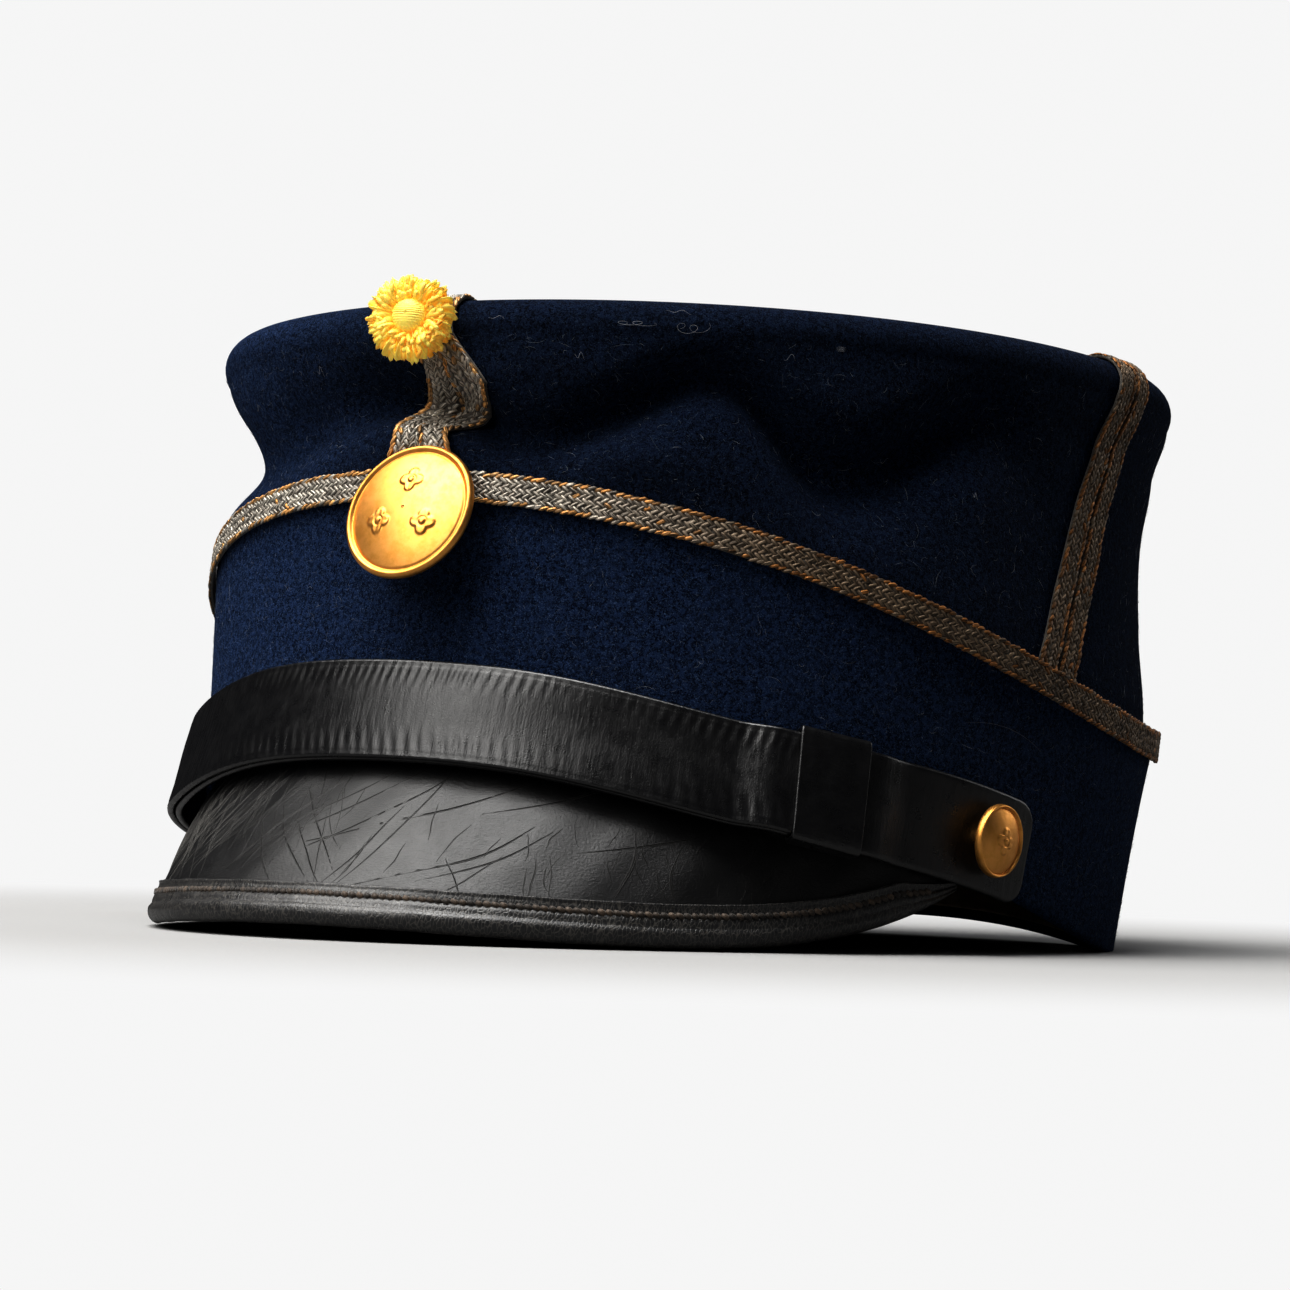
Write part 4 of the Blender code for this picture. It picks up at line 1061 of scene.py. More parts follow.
def build_top(cloth):
    """The flat top: rings of points from the middle out, over the edge and back below."""
    angle = RING[::2][:, None]
    share = np.linspace(0.02, 1.0, 25)[None, :]
    ripple = TOP_RIPPLE * np.sin(np.radians(angle) * 3.0 + 1.0) * np.sin(math.pi * share) ** 2
    upper = top_disc_point(angle, share, ripple)
    lower = top_disc_point(angle, share[:, ::4], -TOP_WALL)
    sections = closed_wall(upper, lower)
    poles = np.stack([upper[:, 0].mean(0), lower[:, 0].mean(0)])
    points = place(np.concatenate([sections.reshape(-1, 3), poles]))
    groups = turned_faces(*sections.shape[:2])
    piece = make_piece("top_cloth", points, groups, cloth, ("top_disc",))


def build_sweatband(leather):
    """The leather ring inside the band: a flat section with round edges."""
    angle = RING[::2][:, None]
    height = seam_height(angle) - rim_height(angle)
    outline = rounded(SWEATBAND_WALL, SWEATBAND_HEIGHT, 16)
    share = (SWEATBAND_INSET + SWEATBAND_HEIGHT * (1.0 - outline[None, :, 0])) / height
    wave = SWEATBAND_WAVE * np.sin(np.radians(angle) * 7.0) * np.sin(math.pi * outline[None, :, 0])
    out = -BAND_WALL - CLEARANCE - SWEATBAND_WALL * outline[None, :, 1] - np.abs(wave)
    sections = band_point(angle, share, out)
    carry("sweatband_leather", sections, leather, ("sweatband",))


def copies(groups, count, size):
    """Groups of faces repeated for a number of bodies with size points each."""
    shift = (np.arange(count) * size)[:, None, None]
    return [(faces[None] + shift).reshape(-1, faces.shape[1]) for faces in groups]


def seed_body(lengthwise, round_steps):
    """A closed grain along X: rings whose radius falls as an ellipse's, between two poles."""
    t = np.linspace(-1.0, 1.0, lengthwise + 2)[1:-1]
    turn = np.arange(round_steps) * 2.0 * math.pi / round_steps
    reach = np.sqrt(1.0 - np.abs(t) ** 4.0)[:, None]
    rings = vector(t[:, None], reach * np.cos(turn), reach * np.sin(turn)).reshape(-1, 3)
    points = np.concatenate([rings, [(-1.0, 0.0, 0.0), (1.0, 0.0, 0.0)]])
    first = np.arange(round_steps)
    fans = end_fans(first, (lengthwise - 1) * round_steps + first, len(rings))
    return points, grid_faces(lengthwise, round_steps, False, True), fans


def scatter(name, middle, axes, sizes, tones, finish, lengthwise=3, round_steps=5, droop=0.0):
    """Many small grains as one mesh. axes holds each grain's three directions, sizes its half
    length, half width and half height. The ends droop with the square of the distance.
    """
    body, quads, fans = seed_body(lengthwise, round_steps)
    local = body[None] * sizes[:, None, :]
    local[..., 2] -= droop * sizes[:, None, 2] * body[None, :, 0] ** 2
    points = middle[:, None] + np.einsum("nkc,ncx->nkx", local, axes)
    groups = copies((quads, fans), len(middle), len(body))
    tint = np.repeat(tones[:, None], len(body), 1)
    pair = np.stack([body[:, 0], np.arctan2(body[:, 2], body[:, 1]) / math.pi], -1)
    pair = (pair[None] * sizes[:, None, :2] + middle[:, None, :2]).reshape(-1, 2)
    make_piece(name, points, groups, finish, (), [pair[part] for part in groups], tint)


def even_run(edge_a, edge_b, step, ring):
    """Both edges of a strip at even steps of the middle line's length."""
    if ring:
        edge_a = np.concatenate([edge_a, edge_a[:1]])
        edge_b = np.concatenate([edge_b, edge_b[:1]])
    length = steps_along((edge_a + edge_b) / 2.0, False)
    count = max(int(round(length[-1] / step)), 4)
    where = np.linspace(0.0, length[-1], count + 1)[: count if ring else count + 1]
    return read_line(edge_a, length, where), read_line(edge_b, length, where)


def build_braid(name, edges, strands, finishes, seed, ring=False, gilded=(0.72, 0.72)):
    """A flat plait: a core strip, in painted shade, and strands slanting one way, then the other.

    Rows of grains lie side by side across the strip. Each row's grains lean opposite to the
    next row's and sit half a step on, and the outer rows carry the gold-coloured edge threads.
    """
    thread, core = finishes
    rng = np.random.default_rng(seed)
    low, high = even_run(*edges, STRAND_PITCH, ring)
    if ring:
        ahead = np.roll(low + high, -1, 0) - np.roll(low + high, 1, 0)
    else:
        ahead = np.gradient(low + high, axis=0)
    along = unit(ahead)
    width = np.linalg.norm(high - low, axis=1)
    across = unit(high - low)
    normal = unit(np.cross(along, across))
    away = np.einsum("ij,ij->i", normal, (low + high) / 2.0 - vector(0.0, 0.0, BAND_HEIGHT))
    normal = normal * np.where(away < 0.0, -1.0, 1.0)[:, None]

    share, level = CORE_OUTLINE[None, :, :1], CORE_OUTLINE[None, :, 1:]
    sections = low[:, None] * (1.0 - share) + high[:, None] * share
    sections = sections + normal[:, None] * (level - 1.0) * BRAID_WALL
    # The core's dark tint is painted shade for the gaps between the strands.
    shade = np.tile(CORE_SHADE_TONE, (*sections.shape[:2], 1))
    carry(name + "_core", sections, core, (name,), ring, shade)

    count = len(low)
    row = np.repeat(np.arange(strands), count)
    step = np.tile(np.arange(count), strands)
    shift = 0.5 * (row % 2) + rng.normal(0.0, 0.06, len(row))
    beyond = (step + 1) % count if ring else np.minimum(step + 1, count - 1)
    share = (row + 0.5) / strands + rng.normal(0.0, 0.018, len(row))
    share = np.clip(share, 0.35 / strands, 1.0 - 0.35 / strands)[:, None]
    here = low[step] * (1.0 - share) + high[step] * share
    there = low[beyond] * (1.0 - share) + high[beyond] * share
    sunk = rng.normal(-0.00012, 0.00004, (len(row), 1))
    middle = here + (there - here) * shift[:, None] + normal[step] * sunk
    edge = (row == 0) | (row == strands - 1)
    lean = np.where(row % 2 == 0, STRAND_LEAN, -STRAND_LEAN) * np.where(edge, 0.62, 1.0)
    lean = np.radians(lean + rng.normal(0.0, 2.5, len(row)))
    cos, sin = np.cos(lean)[:, None], np.sin(lean)[:, None]
    first = along[step] * cos + across[step] * sin
    second = across[step] * cos - along[step] * sin
    axes = turned_axes(np.stack([first, second, normal[step]], 1))
    sizes = vector(STRAND_LENGTH, width[step] / strands * 0.45, STRAND_THICKNESS)
    sizes *= rng.normal(1.0, 0.05, sizes.shape)
    tones = STRAND_TONES[rng.integers(0, len(STRAND_TONES), len(row))]
    chance = np.where(row == 0, gilded[0], np.where(row == strands - 1, gilded[1], 0.02))
    golden = rng.random(len(row)) < chance
    tones = np.where(golden[:, None], EDGE_TONES[rng.integers(0, len(EDGE_TONES), len(row))], tones)
    tones = tones * rng.normal(1.0, 0.11, (len(row), 1)).clip(0.5, 1.5)
    middle = place(middle)
    scatter(name + "_plait", middle, axes, sizes, tones, thread, droop=1.0)


def angle_at(middle, offset):
    """Angle beside a middle angle, at a length along the head ring."""
    return middle + math.degrees(offset / BAND_HALF_WIDTH)


def braid_edge(foot, head, lift=0.0, until=1.0, swing=None):
    """One edge of a braid up the crown and over the roll, on the braid's upper side.

    It starts where the ring braid ends, stands off by a half sine where it is lifted, and moves
    from its foot's angle to its head's within the share until. A swing adds a table's column.
    """
    low = 0.16
    climb = crown_point(foot + (head - foot) * low, low)[2] - crown_point(foot, 0.0)[2]
    start = (RING_BRAID_WIDTH / 2.0 + 2.0 * CLEARANCE) / climb * low
    row = start + (1.0 - start) * BRAID_ROWS
    out = CLEARANCE + BRAID_WALL + lift * np.sin(math.pi * row)
    share = row if until == 1.0 else ease(row / until)
    angle = foot + (head - foot) * share
    if swing is not None:
        angle = angle + np.interp(row, np.array(LOOP_TABLE)[:, 0], swing)
    wall = crown_point(angle, row, out)
    over = roll_point(head, BRAID_OVER, CLEARANCE + BRAID_WALL)
    return np.concatenate([wall, over])


def run_to_crossing(edge, head):
    """Carry a braid's edge over the flat top, as far as the strips that cross it."""
    far = roll_point(180.0 - head, 1.0, CLEARANCE + BRAID_WALL)
    crossing = roll_point(SIDE_BRAID_HEAD, 1.0)[1]
    half = SIDE_BRAID_WIDTH + BRAID_SLIT / 2.0 + 4.0 * CLEARANCE
    near = edge[-1]
    stop = crossing + math.copysign(half, near[1] - crossing)
    share = (stop - near[1]) / (far[1] - near[1])
    return np.concatenate([edge, [near + (far - near) * share]])


def side_edge(reach):
    """An edge of the side braids: up one side, over the top and down the other."""
    foot, head = angle_at(SIDE_BRAID_FOOT, reach), angle_at(SIDE_BRAID_HEAD, reach)
    return np.concatenate([braid_edge(foot, head), braid_edge(-foot, -head)[::-1]])


def back_edge(reach):
    """An edge of the back braids: up the back to the crossing."""
    angle = angle_at(180.0, reach)
    return run_to_crossing(braid_edge(angle, angle), angle)


def build_braids(finishes):
    """The ring round the seam, the pairs up the sides and the back, and the button's loop."""
    rise = vector(0.0, 0.0, RING_BRAID_WIDTH / 2.0)
    middle = band_point(RING, 1.0, CLEARANCE + BRAID_WALL)
    build_braid("ring_braid", (middle - rise, middle + rise), 7, finishes, 11, True)
    half = (SIDE_BRAID_WIDTH + BRAID_SLIT) / 2.0
    for name, offset, edge_at, seed in (
        ("side_braid_front", -half, side_edge, 21),
        ("side_braid_back", half, side_edge, 22),
        ("back_braid_left", -half, back_edge, 31),
        ("back_braid_right", half, back_edge, 32),
    ):
        reaches = (offset - SIDE_BRAID_WIDTH / 2.0, offset + SIDE_BRAID_WIDTH / 2.0)
        build_braid(name, [edge_at(reach) for reach in reaches], 5, finishes, seed)
    for name, side, seed in (("loop_braid_right", -1.0, 41), ("loop_braid_left", 1.0, 42)):
        edges = []
        for reach, column in ((-CLEARANCE, 2), (LOOP_BRAID_WIDTH + CLEARANCE, 2 + int(side))):
            foot = angle_at(LOOP_ANGLE, side * (reach + LOOP_SPREAD))
            head = angle_at(LOOP_ANGLE, side * reach)
            swing = np.array(LOOP_TABLE)[:, column]
            edges.append(run_to_crossing(braid_edge(foot, head, LOOP_LIFT, 0.4, swing), head))
        build_braid(name, edges, 6, finishes, seed, gilded=(0.15, 0.72))


def peak_form(angle):
    """Root, slope direction, normal and slope length of the peak."""
    fade = np.maximum(np.cos(math.pi / 2.0 * angle / PEAK_HALF_ANGLE), 0.0)
    reach = PEAK_REACH * fade ** PEAK_REACH_POWER + rim_tuck(angle) * fade
    drop = PEAK_DROP * fade ** PEAK_DROP_POWER * (1.0 + PEAK_SIDE_FULLNESS * (1.0 - fade))
    side = outward(angle)
    root = band_point(angle, 0.0, -PEAK_INSET) - vector(0.0, 0.0, CLEARANCE)
    length = np.hypot(reach, drop)
    slope = (side * reach[..., None] - vector(0.0, 0.0, drop)) / length[..., None]
    normal = (side * drop[..., None] + vector(0.0, 0.0, reach)) / length[..., None]
    return root, slope, normal, length


def peak_point(angle, along, rise):
    """The peak at a length down its slope, raised square to it, on an arch 4s(1 - s)."""
    angle, along, rise = np.broadcast_arrays(angle, along, rise)
    root, slope, normal, length = peak_form(angle)
    share = along / length
    arch = 4.0 * PEAK_ARCH * share * (1.0 - share) * np.minimum(1.0, length / PEAK_DROP)
    return root + slope * along[..., None] + normal * (arch + rise)[..., None]


def peak_ripple(angle, share):
    """Slow ripples and creases of the old leather, in metres: sums of sines, gone at the edges."""
    turn = np.radians(angle)
    wave = 0.0
    for height, waves, slant, start in PEAK_RIPPLES:
        wave = wave + height * np.sin(waves * turn + slant * share + start)
    return wave * np.sin(math.pi * share) ** 0.7


def build_peak(leather):
    """The peak's leather, rippled on top and plain below."""
    angle = PEAK_ANGLES[:, None]
    reach = peak_form(angle)[3] - BINDING_WALL - CLEARANCE
    share = np.linspace(0.0, 1.0, 56)[None, :]
    upper = peak_point(angle, reach * share, peak_ripple(angle, share))
    lower = peak_point(angle, reach * share[:, ::5], -PEAK_WALL)
    sections = closed_wall(upper, lower)
    carry("peak_leather", sections, leather, ("peak",), False)


def crack_lines(rng):
    """Rows of the long cracks, then of the short seeded ones."""
    rows = [list(row) for row in CRACK_TABLE]
    for count, starts, tops, runs, ways, slants, lowest, bow, widths in SHORT_CRACKS:
        for _ in range(count):
            start = rng.uniform(*starts)
            top = rng.uniform(*tops)
            run = rng.uniform(*runs)
            slant = rng.choice(ways) * rng.uniform(*slants) * run
            ends = [start, top, start + slant, min(top + run, lowest)]
            rows.append(ends + [rng.uniform(-bow, bow), rng.uniform(*widths)])
    return np.array(rows)


def build_cracks(leather):
    """Each crack: two low lips with a cut between them, along a bowed line on the skin.

    The line is straight in angle and share, plus a half sine for its bow and a small wander.
    """
    start, top, end, low, bow, width = (
        column[:, None] for column in crack_lines(np.random.default_rng(5)).T
    )
    t = np.linspace(0.0, 1.0, CRACK_STEPS)[None, :]
    wander = 0.10 * np.sin(t * 9.0 + start * 3.0) * width / 3.0e-4
    angle = start + (end - start) * t + bow * np.sin(math.pi * t) + wander
    share = top + (low - top) * t
    normal, length = peak_form(angle)[2:]
    reach = length - BINDING_WALL - CLEARANCE
    line = peak_point(angle, reach * share, peak_ripple(angle, share))
    side = unit(np.cross(normal, unit(np.gradient(line, axis=1))))
    fade = np.sin(math.pi * np.clip(t, 0.02, 0.98)) ** 0.5
    width = (width * fade)[..., None, None]
    across, rise, lips = CRACK_PROFILE.T
    points = line[:, :, None] + side[:, :, None] * width * across[:, None]
    points = points + normal[:, :, None] * width * rise[:, None]
    count, corners = len(angle), len(CRACK_PROFILE)
    around = np.arange(corners)
    ends = np.stack([around[::-1], (CRACK_STEPS - 1) * corners + around])
    body = grid_faces(CRACK_STEPS, corners, False, True)
    groups = copies((body, ends), count, CRACK_STEPS * corners)
    # Painted highlight: the lips are paler towards the wearer's right.
    pale = np.repeat(ease((LIP_HIGHLIGHT_START - angle) / LIP_HIGHLIGHT_RUN).ravel(), corners)
    lips = np.tile(lips, count * CRACK_STEPS)
    tint = vector(lips, pale, 0.0)
    make_piece("peak_cracks", place(points), groups, leather, tint=tint)


def binding_outline(angle, bump):
    """The binding's section: a thin raised ridge, a flat strip, and a rolled edge.

    It gives lengths down the peak's slope and rises over the peak.
    """
    length = peak_form(angle)[3]
    squeeze = np.minimum(BINDING_WIDTH, BINDING_SHARE * length) / BINDING_WIDTH
    top = CLEARANCE + BINDING_SKIN
    low = -PEAK_WALL - CLEARANCE - BINDING_SKIN
    upper = [(1.0, -CLEARANCE), (1.0, 0.55 * top)]
    upper += [(share, top + rise) for share, rise in BINDING_RIDGE]
    back = [(share * BINDING_WIDTH, rise) for share, rise in upper]
    roll = 0.36 * BINDING_WIDTH - 0.0006
    half = (top - low) / 2.0 + 0.0002
    for turn in np.linspace(math.pi / 2.0, -math.pi / 2.0, 13):
        back.append((roll - roll * math.cos(turn), (top + low) / 2.0 + half * math.sin(turn)))
    back += [(share * BINDING_WIDTH, low) for share in (0.5, 0.8, 1.0)]
    back += [(BINDING_WIDTH, low + BINDING_WALL)]
    back += [(0.5 * BINDING_WIDTH, -PEAK_WALL - 0.5 * CLEARANCE)]
    behind, rise = np.array(back).T
    return length - behind * squeeze, rise + bump


def build_binding(leather, thread):
    """The leather strip folded round the peak's edge, and its row of stitches."""
    angle = PEAK_ANGLES[:, None]
    uneven = 0.00005 * np.sin(np.radians(angle) * 37.0) + 0.00003 * np.sin(np.radians(angle) * 91.0)
    along, rise = binding_outline(angle, uneven)
    sections = peak_point(angle, along, rise)
    carry("binding_leather", sections, leather, ("peak_binding",), False)

    fine = np.linspace(-PEAK_END_ANGLE + 4.0, PEAK_END_ANGLE - 4.0, 1400)
    length = peak_form(fine)[3]
    squeeze = np.minimum(1.0, BINDING_SHARE * length / BINDING_WIDTH)
    back = length - STITCH_SHARE * BINDING_WIDTH * squeeze
    line = peak_point(fine, back, CLEARANCE + BINDING_SKIN - 0.00005)
    run = steps_along(line, False)
    where = np.arange(0.0, run[-1], STITCH_STEP)
    middle = read_line(line, run, where)
    turn = np.interp(where, run, fine)
    normal = peak_form(turn)[2]
    ahead = unit(np.gradient(middle, axis=0))
    side = unit(np.cross(normal, ahead))
    lean = math.radians(STITCH_LEAN)
    first = ahead * math.cos(lean) - side * math.sin(lean)
    second = side * math.cos(lean) + ahead * math.sin(lean)
    axes = turned_axes(np.stack([first, second, normal], 1))
    rng = np.random.default_rng(8)
    sizes = STITCH_SIZE * rng.normal(1.0, 0.06, (len(where), 3))
    tones = STITCH_TONE * rng.normal(1.0, 0.45, (len(where), 1)).clip(0.3, 2.2)
    middle = place(middle)
    scatter("binding_stitches", middle, axes, sizes, tones, thread, droop=1.2)


def strap_top_share(angle):
    """Height of the strap's upper edge on the band, as a share of the band's height."""
    turn = np.radians(angle)
    sag = STRAP_SAG * np.sin(2.0 * turn) ** 4
    rise = STRAP_END_RISE * np.sin(turn) ** 6
    return (STRAP_LIFT - sag + rise) / (seam_height(angle) - rim_height(angle))


def strap_point(angle, down, out):
    """The strap: down from its upper edge, out from the band square to the strap, which leans."""
    angle, down, out = np.broadcast_arrays(angle, down, out)
    wall = seam_height(angle) - rim_height(angle)
    swing = ease((STRAP_LEAN_START - np.abs(angle)) / (STRAP_LEAN_START - STRAP_LEAN_FULL))
    lean = STRAP_LEAN * swing - rim_tuck(angle) * STRAP_WIDTH / wall
    fall = np.sqrt(STRAP_WIDTH ** 2 - lean ** 2)
    side = outward(angle)
    normal = (side * fall[..., None] + vector(0.0, 0.0, lean)) / STRAP_WIDTH
    slope = (side * lean[..., None] - vector(0.0, 0.0, fall)) / STRAP_WIDTH
    top = band_point(angle, strap_top_share(angle))
    return top + slope * down[..., None] + normal * out[..., None]


def strap_stand(angle):
    """Distance from the band to the inner strap, which rises over the keeper's back."""
    near = ease((KEEPER_RISE_REACH - np.abs(angle - KEEPER_ANGLE)) / KEEPER_RISE_RUN)
    return CLEARANCE + near * (KEEPER_WALL + KEEPER_ROOM) * (1.0 + STRAP_LEAN / STRAP_WIDTH)


def end_trim(angle, end):
    """How much the rounded end takes off each edge near the strap's end: a quarter circle."""
    gone = STRAP_END_ROUND - np.abs(angle - end) * math.radians(BAND_HALF_WIDTH)
    gone = np.clip(gone, 0.0, STRAP_END_ROUND * 0.999)
    return STRAP_END_ROUND - np.sqrt(STRAP_END_ROUND ** 2 - gone ** 2)


def strap_relief(angle, down, strength):
    """Puckers of the strap's face, in metres.

    Short waves run along both edges, each fading within a few millimetres of its edge, with a
    pressed line beside the edge; they swell and die away along the strap.
    """
    arc = np.radians(angle) * BAND_HALF_WIDTH
    upper = np.exp(-((down - UPPER_PUCKER_INSET) / UPPER_PUCKER_REACH) ** 2)
    lower = np.exp(-((STRAP_WIDTH - LOWER_PUCKER_INSET - down) / LOWER_PUCKER_REACH) ** 2)
    swell = 0.55 + 0.45 * np.sin(arc * 90.0 + 1.0) * np.sin(arc * 37.0)
    phase = 2.0 * math.pi * (arc + 0.25 * down) / UPPER_PUCKER_LENGTH + 1.4 * np.sin(arc * 160.0)
    phase_low = 2.0 * math.pi * (arc - 0.2 * down) / LOWER_PUCKER_LENGTH
    phase_low = phase_low + 1.2 * np.sin(arc * 130.0 + 2.0)
    wave = PUCKER_HEIGHT * swell * (upper * np.sin(phase) + 0.85 * lower * np.sin(phase_low))
    left_fan = np.exp(-((angle - FAN_ANGLE) / 16.0) ** 2)
    fan_phase = 2.0 * math.pi * (arc + 0.12 * (down - 0.0095)) / FAN_LENGTH
    fan = FAN_HEIGHT * left_fan * np.sin(fan_phase + 2.0 * np.sin(arc * 210.0))
    pressed = 0.0
    for inset in (down, STRAP_WIDTH - down):
        pressed = pressed - PRESSED_DEPTH * np.exp(-((inset - PRESSED_INSET) / PRESSED_WIDTH) ** 2)
    slow = SLOW_HEIGHT * np.sin(arc * 70.0 + down * 200.0) * np.sin(math.pi * down / STRAP_WIDTH)
    return strength * (wave + fan + pressed + slow)


def build_strap(name, node, start, end, out_of, strength, step, columns, leather):
    """A strap from one rounded end to the other, its face puckered."""
    near = np.linspace(0.0, 3.0, 14)
    body = np.arange(start + 3.2, end - 3.0, step)
    angle = np.concatenate([start + near, body, end - near[::-1]])[:, None]
    trim = np.maximum(end_trim(angle, start), end_trim(angle, end))
    outline = rounded(STRAP_WALL, STRAP_WIDTH, columns)[None]
    down = trim + (STRAP_WIDTH - 2.0 * trim) * outline[..., 0]
    face = (outline[..., 1] > 0.98) * strap_relief(angle, down, strength)
    out = out_of(angle) + STRAP_WALL * outline[..., 1] + face
    carry(name, strap_point(angle, down, out), leather, (node,), False)


def build_straps(leather):
    """The inner strap on the band and the outer strap over it."""

    def over_inner(angle):
        """Stand of the outer strap, which steps up where the inner strap begins."""
        raise_by = ease((angle + INNER_TIP_ANGLE + OVERLAP_RUN) / OVERLAP_RUN)
        return strap_stand(angle) + raise_by * (STRAP_WALL + CLEARANCE)

    build_strap(
        "inner_strap_leather", "chin_strap_inner", -INNER_TIP_ANGLE, STRAP_END_ANGLE, strap_stand,
        0.35, 0.5, 26, leather,
    )
    build_strap(
        "outer_strap_leather", "chin_strap_outer", -STRAP_END_ANGLE, OUTER_TIP_ANGLE, over_inner,
        1.0, 0.21, 44, leather,
    )


def build_keeper(leather):
    """The leather loop round both straps: a rounded rectangle swept round them."""
    half = math.degrees(KEEPER_LENGTH / 2.0 / BAND_HALF_WIDTH)
    stack = 2.0 * (STRAP_WALL + CLEARANCE) - CLEARANCE
    turn = np.linspace(0.0, 2.0 * math.pi, 96, endpoint=False)[:, None]
    power = 2.0 / KEEPER_SQUARENESS
    reach = (np.abs(np.cos(turn)) ** power + np.abs(np.sin(turn)) ** power) ** (-1.0 / power)
    section = rounded(KEEPER_SKIN, KEEPER_LENGTH, 18)[None]
    margin = KEEPER_SNUG + KEEPER_SKIN * section[..., 1]
    angle = KEEPER_ANGLE + (2.0 * section[..., 0] - 1.0) * half
    across = (STRAP_WIDTH / 2.0 + margin) * np.clip(reach * np.cos(turn), -1.0, 1.0)
    through = (stack / 2.0 + margin) * np.clip(reach * np.sin(turn), -1.0, 1.0)
    edge = (1.0 - np.abs(2.0 * section[..., 0] - 1.0)) * half
    lip = KEEPER_LIP * np.exp(-((edge / KEEPER_LIP_RUN) ** 2))
    lip = lip * (np.sin(turn) > 0.2) * (section[..., 1] > 0.6)
    down = STRAP_WIDTH / 2.0 - across
    out = strap_stand(angle) + stack / 2.0 + through + lip
    sections = strap_point(angle, down, out)
    carry("keeper_leather", sections, leather, ("strap_keeper",))


def aimed(points, foot, axis):
    """Carry points of a piece's own frame (Z along its axis) to a place on the cap."""
    third = axis / np.linalg.norm(axis)
    first = np.cross(UP, third)
    first = first / np.linalg.norm(first)
    second = np.cross(third, first)
    return foot + points @ np.stack([first, second, third])


def flower_height(x, y, places, size):
    """Relief of small flowers: four round petals, a groove between them and a raised eye."""
    total = np.zeros(np.shape(x))
    for middle_x, middle_y in places:
        dx, dy = x - middle_x, y - middle_y
        reach, turn = np.hypot(dx, dy) / size, np.arctan2(dy, dx)
        outline = 0.62 + 0.38 * np.abs(np.cos(2.0 * turn))
        petal = ease((outline - reach) / 0.16)
        vein = 0.35 * np.exp(-((np.abs(np.sin(2.0 * turn)) / 0.35) ** 2)) * np.clip(reach, 0.0, 1.0)
        eye = 0.7 * ease((0.26 - reach) / 0.10)
        ring = -0.55 * np.exp(-((reach - 0.31) / 0.06) ** 2)
        total += petal * (1.0 - vein + ring) + eye
    return total


def build_button(name, form, stem, flowers, foot, axis, brass):
    """A button: a bowed face with relief, a groove, a rolled rim, a flat back and a stem.

    form has its radius, the height of its dome, its stem's radius and its number of sides,
    flowers their middles and their size.
    """
    radius, dome, stem_radius, sides = form
    turn = np.linspace(0.0, 2.0 * math.pi, sides, endpoint=False)[:, None]
    face = np.linspace(0.02, 0.86, 58)
    height = BUTTON_EDGE + dome * (1.0 - (face / 0.90) ** 2) * 0.92
    table = [(share, BUTTON_EDGE * rise) for share, rise in BUTTON_RIM]
    table += [(0.980, 0.0), (0.60, -0.0001), (stem_radius / radius, 0.0)]
    table += [(stem_radius / radius, -stem), (0.3 * stem_radius / radius, -stem)]
    table = np.array(table)
    share = np.concatenate([face, table[:, 0]])[None, :]
    rise = np.concatenate([height, table[:, 1]])[None, :] + 0.0 * turn
    x, y = radius * share * np.cos(turn), radius * share * np.sin(turn)
    on_face = (share < 0.865) & (rise > 0.0)
    relief = flower_height(x, y, *flowers) * on_face
    rise = rise + RELIEF_HEIGHT * np.clip(relief, -0.6, 1.8)
    groove = np.exp(-(((share - 0.888) / 0.012) ** 2)) * (rise > 0.0)
    flanks = np.clip(np.abs(np.gradient(relief, axis=1)) * 2.2, 0.0, 1.0)
    far = 0.35 * np.exp(-(((share - 0.80) / 0.10) ** 2)) * on_face
    depth = np.clip(groove + 0.9 * flanks + far + 0.8 * (rise <= 0.0), 0.0, 1.0)
    poles = [(0.0, 0.0, rise[0, 0]), (0.0, 0.0, -stem)]
    points = np.concatenate([vector(x, y, rise).reshape(-1, 3), poles])
    points = place(aimed(points, foot, axis))
    tint = np.repeat(np.concatenate([depth.ravel(), [0.0, 1.0]])[:, None], 3, 1)
    groups = turned_faces(*rise.shape)
    make_piece(name + "_gilt", points, groups, brass, (name,), tint=tint)


